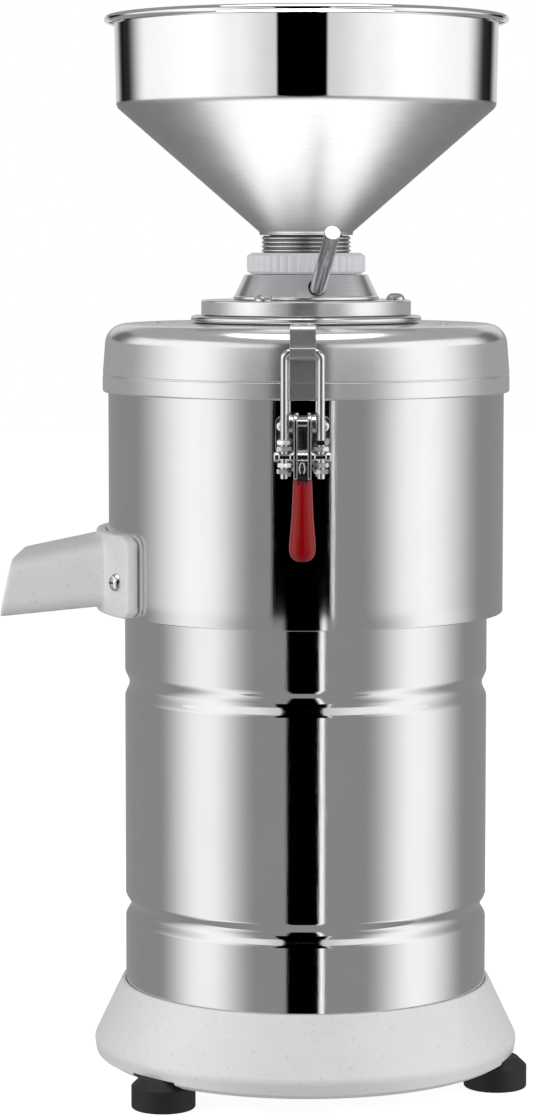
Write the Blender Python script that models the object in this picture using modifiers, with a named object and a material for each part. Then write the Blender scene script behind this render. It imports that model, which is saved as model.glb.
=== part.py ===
"""Table-top peanut butter machine: a vertical stone mill on its own motor, in metres, +Z up.

The upright machine axis is the machine_axis empty. The front is -Y and the spout points to -X.
The origin lies on the floor, under the middle of the whole machine's length and depth.
"""

import math

import bmesh
import bpy
from mathutils import Matrix, Vector

# Clearances
GAP = 0.0003
RUNNING_GAP = 0.0007
STONE_GAP = 0.0010

# How far a cutter runs past the face that it cuts, and the usual small fillet
OVERCUT = 0.0020
EDGE_FILLET = 0.0008

# Facets round a turn, and along a fillet
BODY_STEPS = 24
RING_STEPS = 24
INNER_STEPS = 16
SMALL_STEPS = 8
ARC_STEPS = 2
HEXAGON = 6

# Rubber feet and their bolts
FOOT_RADIUS = 0.0163
FOOT_HEIGHT = 0.0160
FOOT_CHAMFER = 0.0040
FOOT_MARGIN = 0.0088
FOOT_SINK = 0.0035
FOOT_AZIMUTHS = {"front_left": 226.0, "front_right": 346.0, "rear": 106.0}
FOOT_BOLT_RADIUS = 0.0030
FOOT_BOLT_HEAD_RADIUS = 0.0055
FOOT_BOLT_HEAD_HEIGHT = 0.0040
FOOT_BOLT_RECESS = 0.0030
FOOT_BOLT_GRIP = 0.0050

# Sand-cast base and its bottom plate
BASE_RADIUS = 0.1103
BASE_HEIGHT = 0.0400
BASE_WIDEST_HEIGHT = 0.0093
BASE_EDGE_FILLET = 0.0060
BASE_LIP_HEIGHT = 0.0025
BASE_LIP_DRAFT = 0.0012
BASE_UNDERCUT = 0.0055
BASE_RIM_WIDTH = 0.0017
BASE_WALL = 0.0055
BASE_RECESS_DEPTH = 0.0065
BASE_SEAT_WIDTH = 0.0080
BASE_SEAT_HEIGHT = 0.0055
BASE_SEAT_TAPER = 0.0040
BASE_FLANGE_HEIGHT = 0.0090
BASE_FLANGE_WIDTH = 0.0210
BOTTOM_PLATE_LAP = 0.0040
BOTTOM_PLATE_HEIGHT = 0.0015
VENT_COUNT = 6
VENT_STEPS = 8
VENT_LENGTH = 0.0360
VENT_WIDTH = 0.0060
VENT_CIRCLE = 0.0480

# Motor housing, the lower drum
HOUSING_RADIUS = 0.0937
HOUSING_WALL = 0.0012
HOUSING_HEIGHT = 0.1994
GROOVES = ((0.0457, 0.0027, 0.0128), (0.1617, 0.0023, 0.0138))
GROOVE_STEPS = 4

# Chamber floor, which is the motor's upper end shield too
FLOOR_FLANGE_HEIGHT = 0.0070
FLOOR_WEB_HEIGHT = 0.0130
FLOOR_SPIGOT_HEIGHT = 0.0100
FLOOR_SPIGOT_WALL = 0.0045

# Grinding housing, the upper drum
DRUM_RADIUS = 0.1018
DRUM_WALL = 0.0015
DRUM_HEIGHT = 0.1230
DRUM_LAP = 0.0007

# Lid and its seal
SEAL_HEIGHT = 0.0034
SEAL_WIDTH = 0.0040
LID_WALL = 0.00255
LID_LAP = 0.0098
LID_BAND_HEIGHT = 0.0088
LID_TAPER = 0.0020
LID_RIM_HEIGHT = 0.0210
LID_CROWN = 0.0004
LID_CROWN_RADIUS = 0.0620
LID_TOP_WALL = 0.0060
LID_SIDE_WALL = 0.0055
LID_SHOULDER = 0.0095
LID_INNER_FILLET = 0.0040

# Adjuster flange, its bead ring and screws
BEAD_RADIUS = 0.0592
BEAD_HEIGHT = 0.0036
BEAD_FILLET = 0.0014
FLANGE_RADIUS = 0.0539
FLANGE_HEIGHT = 0.0076
SLEEVE_WALL = 0.0036
SLEEVE_DROP = 0.0060
FLANGE_SCREW_CIRCLE = 0.0460
FLANGE_SCREW_AZIMUTHS = (3.0, 123.0, 243.0)
FLANGE_SCREW_GRIP = 0.0150

# Threaded neck with its key, and the upper stone
NECK_RADIUS = 0.0231
NECK_WALL = 0.0046
NECK_SHOWING = 0.0088
NECK_FLANGE_RADIUS = 0.0440
NECK_FLANGE_HEIGHT = 0.0057
NECK_TRAVEL_UP = 0.0015
KEY_WIDTH = 0.0060
KEY_DEPTH = 0.0020
STONE_RADIUS = 0.0500
STONE_HEIGHT = 0.0215
STONE_EYE_RADIUS = 0.0190
STONE_THROAT = 0.0070
STONE_EDGE = 0.0015

# Adjusting collar, its lever and the lock ring
COLLAR_RADIUS = 0.0367
COLLAR_TOP_RADIUS = 0.0316
COLLAR_HEIGHT = 0.0127
COLLAR_FOOT_HEIGHT = 0.0014
COLLAR_FOOT_STEP = 0.0008
LEVER_RADIUS = 0.0040
LEVER_TANG = 0.0080
LEVER_LENGTH = 0.0500
LEVER_BEND_RADIUS = 0.0080
LEVER_BEND_STEPS = 4
LEVER_SIDES = 4
LEVER_RISE = 32.0
LEVER_AZIMUTH = -80.0
LOCK_RING_RADIUS = 0.0304
LOCK_RING_HEIGHT = 0.0107
LOCK_RING_CHAMFER = 0.0015
TOOTH_COUNT = 36
TOOTH_DEPTH = 0.0010

# Hopper
HOPPER_HEIGHT = 0.1117
HOPPER_WALL = 0.0010
HOPPER_CONE_HEIGHT = 0.0652
HOPPER_CONE_RADIUS = 0.0972
HOPPER_MOUTH_RADIUS = 0.0981
HOPPER_CORNER = 0.0090
HOPPER_LIP_RADIUS = 0.0240
HOPPER_LIP_HEIGHT = 0.0016
HOPPER_SPIGOT = 0.0080
CURL_RADIUS = 0.0018
CURL_DROP = 0.0015
CURL_STEPS = 4
CURL_START = -70.0
CURL_TURN = 250.0

# Spout, its gasket and screws
GASKET_WALL = 0.0010
SPOUT_FLANGE_WALL = 0.0050
SPOUT_FLANGE_WIDTH = 0.1240
SPOUT_FLANGE_HEIGHT = 0.0420
SPOUT_FLANGE_CORNER = 0.0060
SPOUT_FLANGE_LIFT = 0.0010
SPOUT_ROOT_SINK = 0.0010
SPOUT_WIDTH = 0.0800
SPOUT_WALL = 0.0035
SPOUT_CORNER = 0.0070
SPOUT_CORNER_STEPS = 3
SPOUT_ROOT_HEIGHT = 0.0342
SPOUT_TIP_HEIGHT = 0.0300
SPOUT_REACH = 0.1555
SPOUT_TIP_SLANT = 0.0065
SPOUT_DROP = 0.0053
SPOUT_SCREW_MARGIN = 0.01265
SPOUT_SCREW_HEIGHT = 0.0180
SPOUT_SCREW_END = 0.0035

# Pan-head screws
SCREW_RADIUS = 0.0020
SCREW_HEAD_RADIUS = 0.0048
SCREW_HEAD_HEIGHT = 0.0032
SCREW_CROWN_RADIUS = 0.0034
SCREW_RIM_HEIGHT = 0.0013

# Toggle latches
PIVOT_STANDOFF = 0.0082
PIVOT_DROP = 0.0202
CRANK = 0.0166
LATCH_PIN_RADIUS = 0.0020
LATCH_BASE_WIDTH = 0.0267
LATCH_BASE_LOW = 0.0148
LATCH_BASE_HIGH = 0.0032
LATCH_BASE_WALL = 0.0018
LATCH_BASE_CORNER = 0.0037
LATCH_BASE_LOW_CORNER = 0.0015
LATCH_BASE_BLANK = 0.0040
EAR_WALL = 0.0020
EAR_RADIUS = 0.0052
EAR_ROUNDING = 0.0047
EAR_TOP_STEP = 0.0004
ARM_WIDTH = 0.0087
ARM_WALL = 0.0020
ARM_DEPTH = 0.0085
ARM_LENGTH = 0.0275
ARM_BRIDGE = 0.0040
ARM_STEPS = 3
TANG_LENGTH = 0.0310
TANG_DEPTH = 0.0030
TANG_WIDTH = 0.0050
GRIP_LENGTH = 0.0403
GRIP_TOP_WIDTH = 0.0093
GRIP_END_WIDTH = 0.0130
GRIP_DEPTH = 0.0090
GRIP_EDGE = 0.0022
GRIP_END_FILLET = 0.0055
GRIP_END_LENGTH = 0.0080
GRIP_TILT = 10.0
BAIL_RADIUS = 0.0018
BAIL_LEG_OFFSET = 0.00895
BAIL_BEND = 0.0024
BAIL_STEPS = 3
BAIL_SIDES = 2
BAIL_TAIL = 0.0106
BAR_DEPTH_BELOW_LID = 0.0110
TRUNNION_RADIUS = 0.00245
TRUNNION_LENGTH = 0.0280
NUT_RADIUS = 0.00375
NUT_HEIGHT = 0.0024
NUT_SPACING = 0.0031
KEEPER_WALL = 0.0015
KEEPER_BEND = 0.0022
KEEPER_WIDTH = 0.0128
KEEPER_TAB = 0.0200
HOOK_PLAY = 0.00165
HOOK_LIP = 0.0020

# Motor
SHAFT_RADIUS = 0.0085
JOURNAL_RADIUS = 0.0075
STUD_RADIUS = 0.0050
STATOR_MARGIN = 0.0287
STATOR_WALL = 0.0285
STATOR_HEIGHT = 0.0700
STATOR_DEPTH = 0.0627
WINDING_MARGIN = 0.0090
WINDING_HEIGHT = 0.0150
WINDING_WALL = 0.0160
WINDING_DRAFT = 0.0040
SHIELD_WALL = 0.0050
SHIELD_HEIGHT = 0.0377
SHIELD_FLOOR = 0.0060
SHIELD_FILLET = 0.0040
SHIELD_EAR_WIDTH = 0.0090
SHIELD_EAR_HEIGHT = 0.0060
SHIELD_EAR_LEVEL = 0.0140
SHIELD_VENT_RADIUS = 0.0080
BEARING_RADIUS = 0.0160
BEARING_HEIGHT = 0.0100
UPPER_BEARING_RADIUS = 0.0200
UPPER_BEARING_HEIGHT = 0.0140
HUB_WALL = 0.0055
HUB_LIP = 0.0020
LOWER_BEARING_LIFT = 0.0030
SHAFT_SHOULDER_GAP = 0.0010
SHAFT_TAIL = 0.0040
STUD_HEIGHT = 0.0080
SHAFT_HOLE_MARGIN = 0.0035
SHAFT_SEAL_RADIUS = 0.0150
SHAFT_SEAL_HEIGHT = 0.0070
TIE_BOLT_RADIUS = 0.0025
TIE_BOLT_HEAD_RADIUS = 0.0045
TIE_BOLT_HEAD_HEIGHT = 0.0030
TIE_BOLT_GRIP = 0.0055
TIE_BOLT_CLEARANCE = 0.0020
TIE_BOLT_AZIMUTHS = {"left": 150.0, "right": -30.0}
FAN_RADIUS = 0.0520
FAN_HUB_RADIUS = 0.0120
FAN_HEIGHT = 0.0160
FAN_DROP = 0.0080
FAN_DISC = 0.0020
FAN_BLADES = 8
FAN_BLADE_WALL = 0.0016
FAN_BLADE_MARGIN = 0.0010

# Stone carrier, its paddles and the feed screw
CARRIER_HUB_RADIUS = 0.0170
CARRIER_DISC_RADIUS = 0.0490
CARRIER_DISC_HEIGHT = 0.0070
CARRIER_LIFT = 0.0030
CARRIER_NECK_HEIGHT = 0.0160
CARRIER_SPIGOT_RADIUS = 0.0120
CARRIER_SPIGOT_HEIGHT = 0.0180
PADDLE_COUNT = 3
PADDLE_HEIGHT = 0.0200
PADDLE_WALL = 0.0050
PADDLE_MARGIN = 0.0090
PADDLE_LIFT = 0.0005
PADDLE_ROOT = 0.0020
PADDLE_AZIMUTH = 90.0
FEED_FLANGE_RADIUS = 0.0150
FEED_FLANGE_HEIGHT = 0.0035
FEED_HUB_RADIUS = 0.0080
FEED_HUB_HEIGHT = 0.0270
FEED_WING_RADIUS = 0.0165
FEED_CROWN_RADIUS = 0.0040
FEED_CROWN_FILLET = 0.0020
FEED_WING_WALL = 0.0030
FEED_WING_HEIGHT = 0.0140
FEED_WING_SINK = 0.0010
FEED_WING_SLANT = 25.0
FEED_WING_AZIMUTHS = (20.0, 200.0)

# Mains switch and cable gland, at the back of the motor housing
SWITCH_LEVEL = 0.1030
SWITCH_BEZEL_WIDTH = 0.0220
SWITCH_BEZEL_HEIGHT = 0.0300
SWITCH_BEZEL_WALL = 0.0030
SWITCH_BODY_WIDTH = 0.0180
SWITCH_BODY_HEIGHT = 0.0260
SWITCH_BODY_DEPTH = 0.0170
SWITCH_WALL = 0.0016
ROCKER_RADIUS = 0.0092
ROCKER_RISE = 0.0065
ROCKER_VALLEY = 0.0045
ROCKER_PIVOT_DEPTH = 0.0055
ROCKER_AXLE_RADIUS = 0.0012
ROCKER_TILT = 10.0
ROCKER_STEPS = 8
BEZEL_DEPTH = 0.0040
BEZEL_EDGE = 0.0010
GLAND_LEVEL = 0.0230
GLAND_THREAD_RADIUS = 0.0060
GLAND_HEX_RADIUS = 0.0105
GLAND_HEX_HEIGHT = 0.0045
GLAND_DOME_RADIUS = 0.0090
GLAND_DOME_HEIGHT = 0.0110
GLAND_BORE_RADIUS = 0.0035
GLAND_INSIDE = 0.0080
GLAND_STANDOFF = 0.0008
GLAND_MOUTH_WALL = 0.0020
GLAND_CROWN_HEIGHT = 0.0060
GLAND_CROWN_FILLET = 0.0030

# Levels above the floor, worked out from the sizes above
BASE_LEVEL = FOOT_HEIGHT - FOOT_SINK
BASE_TOP = BASE_LEVEL + BASE_HEIGHT
HOUSING_LEVEL = BASE_TOP - BASE_RECESS_DEPTH + GAP
HOUSING_TOP = HOUSING_LEVEL + HOUSING_HEIGHT
FLOOR_LEVEL = HOUSING_TOP + GAP
FLOOR_TOP = FLOOR_LEVEL + FLOOR_FLANGE_HEIGHT
DRUM_LEVEL = HOUSING_TOP - DRUM_LAP
DRUM_TOP = DRUM_LEVEL + DRUM_HEIGHT
LID_LEVEL = DRUM_TOP - LID_LAP
LID_LEDGE = DRUM_TOP + SEAL_HEIGHT + 2 * GAP
LID_RIM_TOP = LID_LEDGE + LID_RIM_HEIGHT
LID_TOP = LID_RIM_TOP + LID_CROWN
BEAD_LEVEL = LID_TOP + GAP
FLANGE_LEVEL = BEAD_LEVEL + BEAD_HEIGHT + GAP
FLANGE_TOP = FLANGE_LEVEL + FLANGE_HEIGHT
COLLAR_LEVEL = FLANGE_TOP + GAP
COLLAR_TOP = COLLAR_LEVEL + COLLAR_HEIGHT
LOCK_RING_LEVEL = COLLAR_TOP + GAP
LOCK_RING_TOP = LOCK_RING_LEVEL + LOCK_RING_HEIGHT
NECK_TOP = LOCK_RING_TOP + NECK_SHOWING
HOPPER_LEVEL = NECK_TOP + GAP
CARRIER_LEVEL = FLOOR_TOP + CARRIER_LIFT
LOWER_STONE_LEVEL = CARRIER_LEVEL + PADDLE_HEIGHT + CARRIER_NECK_HEIGHT + CARRIER_DISC_HEIGHT + GAP
UPPER_STONE_LEVEL = LOWER_STONE_LEVEL + STONE_HEIGHT + STONE_GAP
NECK_LEVEL = UPPER_STONE_LEVEL + STONE_HEIGHT + GAP
CARRIER_TOP = LOWER_STONE_LEVEL + CARRIER_SPIGOT_HEIGHT
STUD_TOP = LOWER_STONE_LEVEL + STONE_HEIGHT + STUD_HEIGHT
SLEEVE_LEVEL = LID_RIM_TOP - LID_TOP_WALL - SLEEVE_DROP
SPOUT_FLANGE_LEVEL = DRUM_LEVEL + SPOUT_FLANGE_LIFT
SPOUT_SCREW_LEVEL = SPOUT_FLANGE_LEVEL + SPOUT_SCREW_HEIGHT
UPPER_BEARING_LEVEL = FLOOR_TOP - SHAFT_SEAL_HEIGHT - 2 * GAP - HUB_WALL - UPPER_BEARING_HEIGHT
STATOR_TOP = FLOOR_TOP - STATOR_DEPTH
STATOR_LEVEL = STATOR_TOP - STATOR_HEIGHT
SHIELD_TOP = STATOR_LEVEL - GAP
SHIELD_LEVEL = SHIELD_TOP - SHIELD_HEIGHT
LOWER_BEARING_LEVEL = SHIELD_LEVEL + LOWER_BEARING_LIFT

# Places across the machine, worked out from the sizes above
LID_RADIUS = DRUM_RADIUS + GAP + LID_WALL
PIVOT_RADIUS = DRUM_RADIUS + PIVOT_STANDOFF
PIVOT_LEVEL = DRUM_TOP - PIVOT_DROP
TRUNNION_LEVEL = PIVOT_LEVEL - CRANK
BAR_LEVEL = LID_RIM_TOP - BAR_DEPTH_BELOW_LID
NECK_BORE = NECK_RADIUS - NECK_WALL
SLEEVE_BORE = NECK_RADIUS + GAP
SLEEVE_RADIUS = SLEEVE_BORE + SLEEVE_WALL
STATOR_RADIUS = HOUSING_RADIUS - STATOR_MARGIN
STATOR_BORE = STATOR_RADIUS - STATOR_WALL
TIE_BOLT_CIRCLE = STATOR_RADIUS + TIE_BOLT_RADIUS + TIE_BOLT_CLEARANCE
FOOT_CIRCLE = BASE_RADIUS - FOOT_MARGIN
SPOUT_SEAT_RADIUS = DRUM_RADIUS + GASKET_WALL + 2 * GAP
SPOUT_EDGE_REACH = math.sqrt(SPOUT_SEAT_RADIUS**2 - (SPOUT_WIDTH / 2) ** 2)
SPOUT_SCREW_ACROSS = SPOUT_FLANGE_WIDTH / 2 - SPOUT_SCREW_MARGIN
SPOUT_SCREW_AZIMUTH = math.degrees(math.asin(SPOUT_SCREW_ACROSS / DRUM_RADIUS))
RIGHT_REACH = FOOT_CIRCLE * math.cos(math.radians(FOOT_AZIMUTHS["front_right"])) + FOOT_RADIUS
AXIS_X = (SPOUT_REACH - RIGHT_REACH) / 2

# From a drawn outline's own X and Y to a view of the machine
SIDE_VIEW = Matrix(((0, 0, 1, 0), (1, 0, 0, 0), (0, 1, 0, 0), (0, 0, 0, 1)))
FRONT_VIEW = Matrix(((1, 0, 0, 0), (0, 0, -1, 0), (0, 1, 0, 0), (0, 0, 0, 1)))


def clear_scene():
    for item in list(bpy.data.objects):
        bpy.data.objects.remove(item)


def new_collection(name):
    collection = bpy.data.collections.new(name)
    bpy.context.scene.collection.children.link(collection)
    return collection


def finish(name, colour, roughness, metallic):
    material = bpy.data.materials.new(name)
    material.use_nodes = True
    shader = material.node_tree.nodes["Principled BSDF"]
    shader.inputs["Base Color"].default_value = (*colour, 1.0)
    shader.inputs["Roughness"].default_value = roughness
    shader.inputs["Metallic"].default_value = metallic
    return material


def empty(name, place, turn=0.0, parent=None):
    marker = bpy.data.objects.new(name, None)
    PARTS.objects.link(marker)
    marker.location = place
    marker.rotation_euler = (0.0, 0.0, turn)
    marker.parent = parent
    return marker


def place_piece(name, data, look, parent):
    """Link one sub-part, with a material of its own, under its empty."""
    colour, roughness, metallic = look
    data.materials.clear()
    data.materials.append(finish(name, colour, roughness, metallic))
    piece = bpy.data.objects.new(name, data)
    PARTS.objects.link(piece)
    piece.parent = parent
    return piece


def place_tool(name, data, parent):
    """Link a shape that only cuts or joins another."""
    tool = bpy.data.objects.new(name, data)
    CUTTERS.objects.link(tool)
    tool.parent = parent
    tool.hide_render = True
    tool.display_type = "WIRE"
    return tool


def combine(piece, tool, operation):
    modifier = piece.modifiers.new(f"{operation.lower()} {tool.name}", "BOOLEAN")
    modifier.operation = operation
    modifier.object = tool


def cut(piece, *tools):
    for tool in tools:
        combine(piece, tool, "DIFFERENCE")


def join(piece, *tools):
    for tool in tools:
        combine(piece, tool, "UNION")


def trim(piece, tool):
    combine(piece, tool, "INTERSECT")


def round_corners(corners, arc_steps=ARC_STEPS):
    """Corners are (across, up) or (across, up, fillet). A fillet is limited by its two edges."""
    outline = []
    for index, corner in enumerate(corners):
        point = Vector(corner[:2])
        if len(corner) == 2:
            outline.append(point)
            continue
        back = Vector(corners[index - 1][:2]) - point
        ahead = Vector(corners[(index + 1) % len(corners)][:2]) - point
        half = back.angle(ahead) / 2
        reach = min(corner[2] / math.tan(half), 0.45 * back.length, 0.45 * ahead.length)
        radius = reach * math.tan(half)
        middle = (back.normalized() + ahead.normalized()).normalized()
        centre = point + middle * (radius / math.sin(half))
        start = point + back.normalized() * reach - centre
        end = point + ahead.normalized() * reach - centre
        first = math.atan2(start.y, start.x)
        turn = (math.atan2(end.y, end.x) - first + math.pi) % math.tau - math.pi
        for step in range(arc_steps + 1):
            angle = first + turn * step / arc_steps
            outline.append(centre + radius * Vector((math.cos(angle), math.sin(angle))))
    return outline


def profile_mesh(name, outline, closed):
    """A line at +X, which runs down the outer side of the shape that is turned from it."""
    count = len(outline)
    edges = [(index, (index + 1) % count) for index in range(count if closed else count - 1)]
    mesh = bpy.data.meshes.new(name)
    mesh.from_pydata([(point[0], 0.0, point[1]) for point in outline], edges, [])
    return mesh


def screw(piece, steps):
    modifier = piece.modifiers.new("turn", "SCREW")
    modifier.steps = steps
    modifier.render_steps = steps
    modifier.use_merge_vertices = True
    modifier.merge_threshold = 0.00001


def turned(name, corners, steps, look, parent):
    """A solid turned from its half section; one that meets the axis starts and ends on it."""
    outline = round_corners(corners)
    closed = all(point[0] > 0.0 for point in outline)
    piece = place_piece(name, profile_mesh(name, outline, closed), look, parent)
    screw(piece, steps)
    return piece


def turned_tool(name, corners, steps, parent):
    outline = round_corners(corners)
    closed = all(point[0] > 0.0 for point in outline)
    tool = place_tool(name, profile_mesh(name, outline, closed), parent)
    screw(tool, steps)
    return tool


def turned_sheet(name, outline, wall, steps, look, parent):
    """Sheet metal turned from the line of its outer face, its thickness to the inside."""
    piece = place_piece(name, profile_mesh(name, outline, False), look, parent)
    screw(piece, steps)
    shell = piece.modifiers.new("sheet", "SOLIDIFY")
    shell.thickness = wall
    shell.offset = -1.0
    shell.use_even_offset = True
    return piece


def mesh_of(name, shape):
    mesh = bpy.data.meshes.new(name)
    shape.to_mesh(mesh)
    shape.free()
    mesh.shade_smooth()
    mesh.set_sharp_from_angle(angle=math.radians(35.0))
    return mesh


def add_box(shape, low, high, turn=None):
    low = Vector(low)
    high = Vector(high)
    size = high - low
    matrix = Matrix.Translation((low + high) / 2) @ Matrix.Diagonal((*size, 1.0))
    if turn:
        matrix = turn @ matrix
    return bmesh.ops.create_cube(shape, size=1.0, matrix=matrix)["verts"]


def add_rod(shape, radius, start, end, steps, end_radius=None):
    start = Vector(start)
    run = Vector(end) - start
    matrix = Matrix.Translation(start + run / 2) @ run.to_track_quat("Z", "Y").to_matrix().to_4x4()
    bmesh.ops.create_cone(
        shape,
        cap_ends=True,
        segments=steps,
        radius1=radius,
        radius2=radius if end_radius is None else end_radius,
        depth=run.length,
        matrix=matrix,
    )


def box_tool(name, low, high, parent, turn=None):
    shape = bmesh.new()
    add_box(shape, low, high, turn)
    return place_tool(name, mesh_of(name, shape), parent)


def rod_tool(name, radius, start, end, steps, parent):
    shape = bmesh.new()
    add_rod(shape, radius, start, end, steps)
    return place_tool(name, mesh_of(name, shape), parent)


def soften(piece, width, segments=2):
    bevel = piece.modifiers.new("edges", "BEVEL")
    bevel.width = width
    bevel.segments = segments
    bevel.limit_method = "ANGLE"
    bevel.angle_limit = math.radians(40.0)


def mesh_of_curve(name, curve):
    """The closed mesh of a curve, with its caps joined on."""
    guide = bpy.data.objects.new(name, curve)
    PARTS.objects.link(guide)
    graph = bpy.context.evaluated_depsgraph_get()
    mesh = bpy.data.meshes.new_from_object(guide.evaluated_get(graph))
    bpy.data.objects.remove(guide)
    shape = bmesh.new()
    shape.from_mesh(mesh)
    bpy.data.meshes.remove(mesh)
    bmesh.ops.remove_doubles(shape, verts=shape.verts, dist=0.000001)
    bmesh.ops.recalc_face_normals(shape, faces=shape.faces)
    return mesh_of(name, shape)


def slab_mesh(name, outlines, thickness, view):
    """A flat plate from closed outlines, half of its thickness to each side of the drawing."""
    curve = bpy.data.curves.new(name, "CURVE")
    curve.dimensions = "2D"
    curve.fill_mode = "BOTH"
    curve.extrude = thickness / 2
    for outline in outlines:
        spline = curve.splines.new("POLY")
        spline.points.add(len(outline) - 1)
        for point, corner in zip(spline.points, outline):
            point.co = (corner[0], corner[1], 0.0, 1.0)
        spline.use_cyclic_u = True
    mesh = mesh_of_curve(name, curve)
    mesh.transform(view)
    return mesh


def wire_curve(name, points, radius, sides_step):
    curve = bpy.data.curves.new(name, "CURVE")
    curve.dimensions = "3D"
    curve.bevel_depth = radius
    curve.bevel_resolution = sides_step
    curve.use_fill_caps = True
    spline = curve.splines.new("POLY")
    spline.points.add(len(points) - 1)
    for point, place in zip(spline.points, points):
        point.co = (*place, 1.0)
    return curve


def around(radius, azimuth, level):
    """A point at a radius, an azimuth in degrees from +X, and a level."""
    angle = math.radians(azimuth)
    return Vector((radius * math.cos(angle), radius * math.sin(angle), level))


def at_azimuth(azimuth):
    return Matrix.Rotation(math.radians(azimuth), 4, "Z")


def pan_head_screw(name, place, direction, grip, look, parent):
    """A pan-head screw whose head rests at the place; its shank runs against the direction."""
    screw_piece = turned(
        name,
        (
            (0.0, SCREW_HEAD_HEIGHT),
            (SCREW_CROWN_RADIUS, SCREW_HEAD_HEIGHT),
            (SCREW_HEAD_RADIUS, SCREW_RIM_HEIGHT),
            (SCREW_HEAD_RADIUS, 0.0),
            (SCREW_RADIUS, 0.0),
            (SCREW_RADIUS, -grip),
            (0.0, -grip),
        ),
        SMALL_STEPS,
        look,
        parent,
    )
    screw_piece.location = place
    screw_piece.rotation_mode = "QUATERNION"
    screw_piece.rotation_quaternion = Vector(direction).to_track_quat("Z", "Y")


def foot_and_bolt(side, azimuth):
    """A rubber foot set into the base, and the bolt that holds it from below."""
    centre = empty(f"foot_axis_{side}", around(FOOT_CIRCLE, azimuth, 0.0), parent=AXIS)
    hole = FOOT_BOLT_RADIUS + GAP
    recess = FOOT_BOLT_HEAD_RADIUS + GAP
    seat = FOOT_BOLT_RECESS + FOOT_BOLT_HEAD_HEIGHT + GAP
    turned(
        f"foot_{side}",
        (
            (FOOT_RADIUS - FOOT_CHAMFER, FOOT_HEIGHT),
            (FOOT_RADIUS, FOOT_HEIGHT - FOOT_CHAMFER),
            (FOOT_RADIUS, 0.0),
            (recess, 0.0),
            (recess, seat),
            (hole, seat),
            (hole, FOOT_HEIGHT),
        ),
        INNER_STEPS,
        RUBBER,
        centre,
    )
    bolt_top = FOOT_HEIGHT + FOOT_BOLT_GRIP
    turned(
        f"foot_bolt_{side}",
        (
            (0.0, bolt_top),
            (FOOT_BOLT_RADIUS, bolt_top),
            (FOOT_BOLT_RADIUS, FOOT_BOLT_RECESS + FOOT_BOLT_HEAD_HEIGHT),
            (FOOT_BOLT_HEAD_RADIUS, FOOT_BOLT_RECESS + FOOT_BOLT_HEAD_HEIGHT),
            (FOOT_BOLT_HEAD_RADIUS, FOOT_BOLT_RECESS),
            (0.0, FOOT_BOLT_RECESS),
        ),
        SMALL_STEPS,
        STEEL,
        centre,
    )


def base_casting():
    """The flared casting: a recess for the housing on top, a flange for the feet below."""
    rim = HOUSING_RADIUS + GAP + BASE_RIM_WIDTH
    widest = BASE_LEVEL + BASE_WIDEST_HEIGHT
    seat = BASE_TOP - BASE_RECESS_DEPTH
    seat_bore = HOUSING_RADIUS - BASE_SEAT_WIDTH
    flange_top = BASE_LEVEL + BASE_FLANGE_HEIGHT
    slope = (BASE_RADIUS - rim) / (BASE_TOP - widest)
    under_seat = seat - BASE_SEAT_HEIGHT
    wall_top = under_seat - BASE_SEAT_TAPER
    piece = turned(
        "base_casting",
        (
            (rim, BASE_TOP),
            (BASE_RADIUS, widest, BASE_EDGE_FILLET),
            (BASE_RADIUS - BASE_LIP_DRAFT, BASE_LEVEL + BASE_LIP_HEIGHT, EDGE_FILLET),
            (BASE_RADIUS - BASE_UNDERCUT, BASE_LEVEL),
            (BASE_RADIUS - BASE_WALL - BASE_FLANGE_WIDTH, BASE_LEVEL),
            (BASE_RADIUS - BASE_WALL - BASE_FLANGE_WIDTH, flange_top),
            (BASE_RADIUS - BASE_WALL, flange_top),
            (BASE_RADIUS - BASE_WALL - slope * (wall_top - widest), wall_top),
            (seat_bore, under_seat),
            (seat_bore, seat),
            (HOUSING_RADIUS + GAP, seat),
            (HOUSING_RADIUS + GAP, BASE_TOP),
        ),
        BODY_STEPS,
        CAST_ALUMINIUM,
        AXIS,
    )
    pockets = bmesh.new()
    holes = bmesh.new()
    for azimuth in FOOT_AZIMUTHS.values():
        low = around(FOOT_CIRCLE, azimuth, -OVERCUT)
        high = around(FOOT_CIRCLE, azimuth, FOOT_HEIGHT + GAP)
        add_rod(pockets, FOOT_RADIUS + GAP, low, high, RING_STEPS)
        high = around(FOOT_CIRCLE, azimuth, FOOT_HEIGHT + FOOT_BOLT_GRIP + OVERCUT)
        add_rod(holes, FOOT_BOLT_RADIUS + GAP, low, high, SMALL_STEPS)
    cut(
        piece,
        place_tool("foot pockets", mesh_of("foot pockets", pockets), AXIS),
        place_tool("foot bolt holes", mesh_of("foot bolt holes", holes), AXIS),
    )


def bottom_plate():
    level = BASE_LEVEL + BASE_FLANGE_HEIGHT + GAP
    top = level + BOTTOM_PLATE_HEIGHT
    radius = BASE_RADIUS - BASE_WALL - BASE_FLANGE_WIDTH + BOTTOM_PLATE_LAP
    plate = turned(
        "bottom_plate",
        ((0.0, top), (radius, top), (radius, level), (0.0, level)),
        BODY_STEPS,
        ZINC,
        AXIS,
    )
    vents = bmesh.new()
    for number in range(VENT_COUNT):
        turn = at_azimuth(360.0 * number / VENT_COUNT)
        low = (VENT_CIRCLE - VENT_LENGTH / 2, -VENT_WIDTH / 2, level - OVERCUT)
        high = (VENT_CIRCLE + VENT_LENGTH / 2, VENT_WIDTH / 2, top + OVERCUT)
        add_box(vents, low, high, turn)
    cut(plate, place_tool("bottom vents", mesh_of("bottom vents", vents), AXIS))


def groove_points(level, depth, height):
    """Half a wave rolled into the drum, from its upper edge down to its lower one."""
    for step in range(GROOVE_STEPS + 1):
        share = step / GROOVE_STEPS
        inward = depth * (1.0 - math.cos(math.tau * share)) / 2
        yield Vector((HOUSING_RADIUS - inward, level + height * (0.5 - share)))


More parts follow.
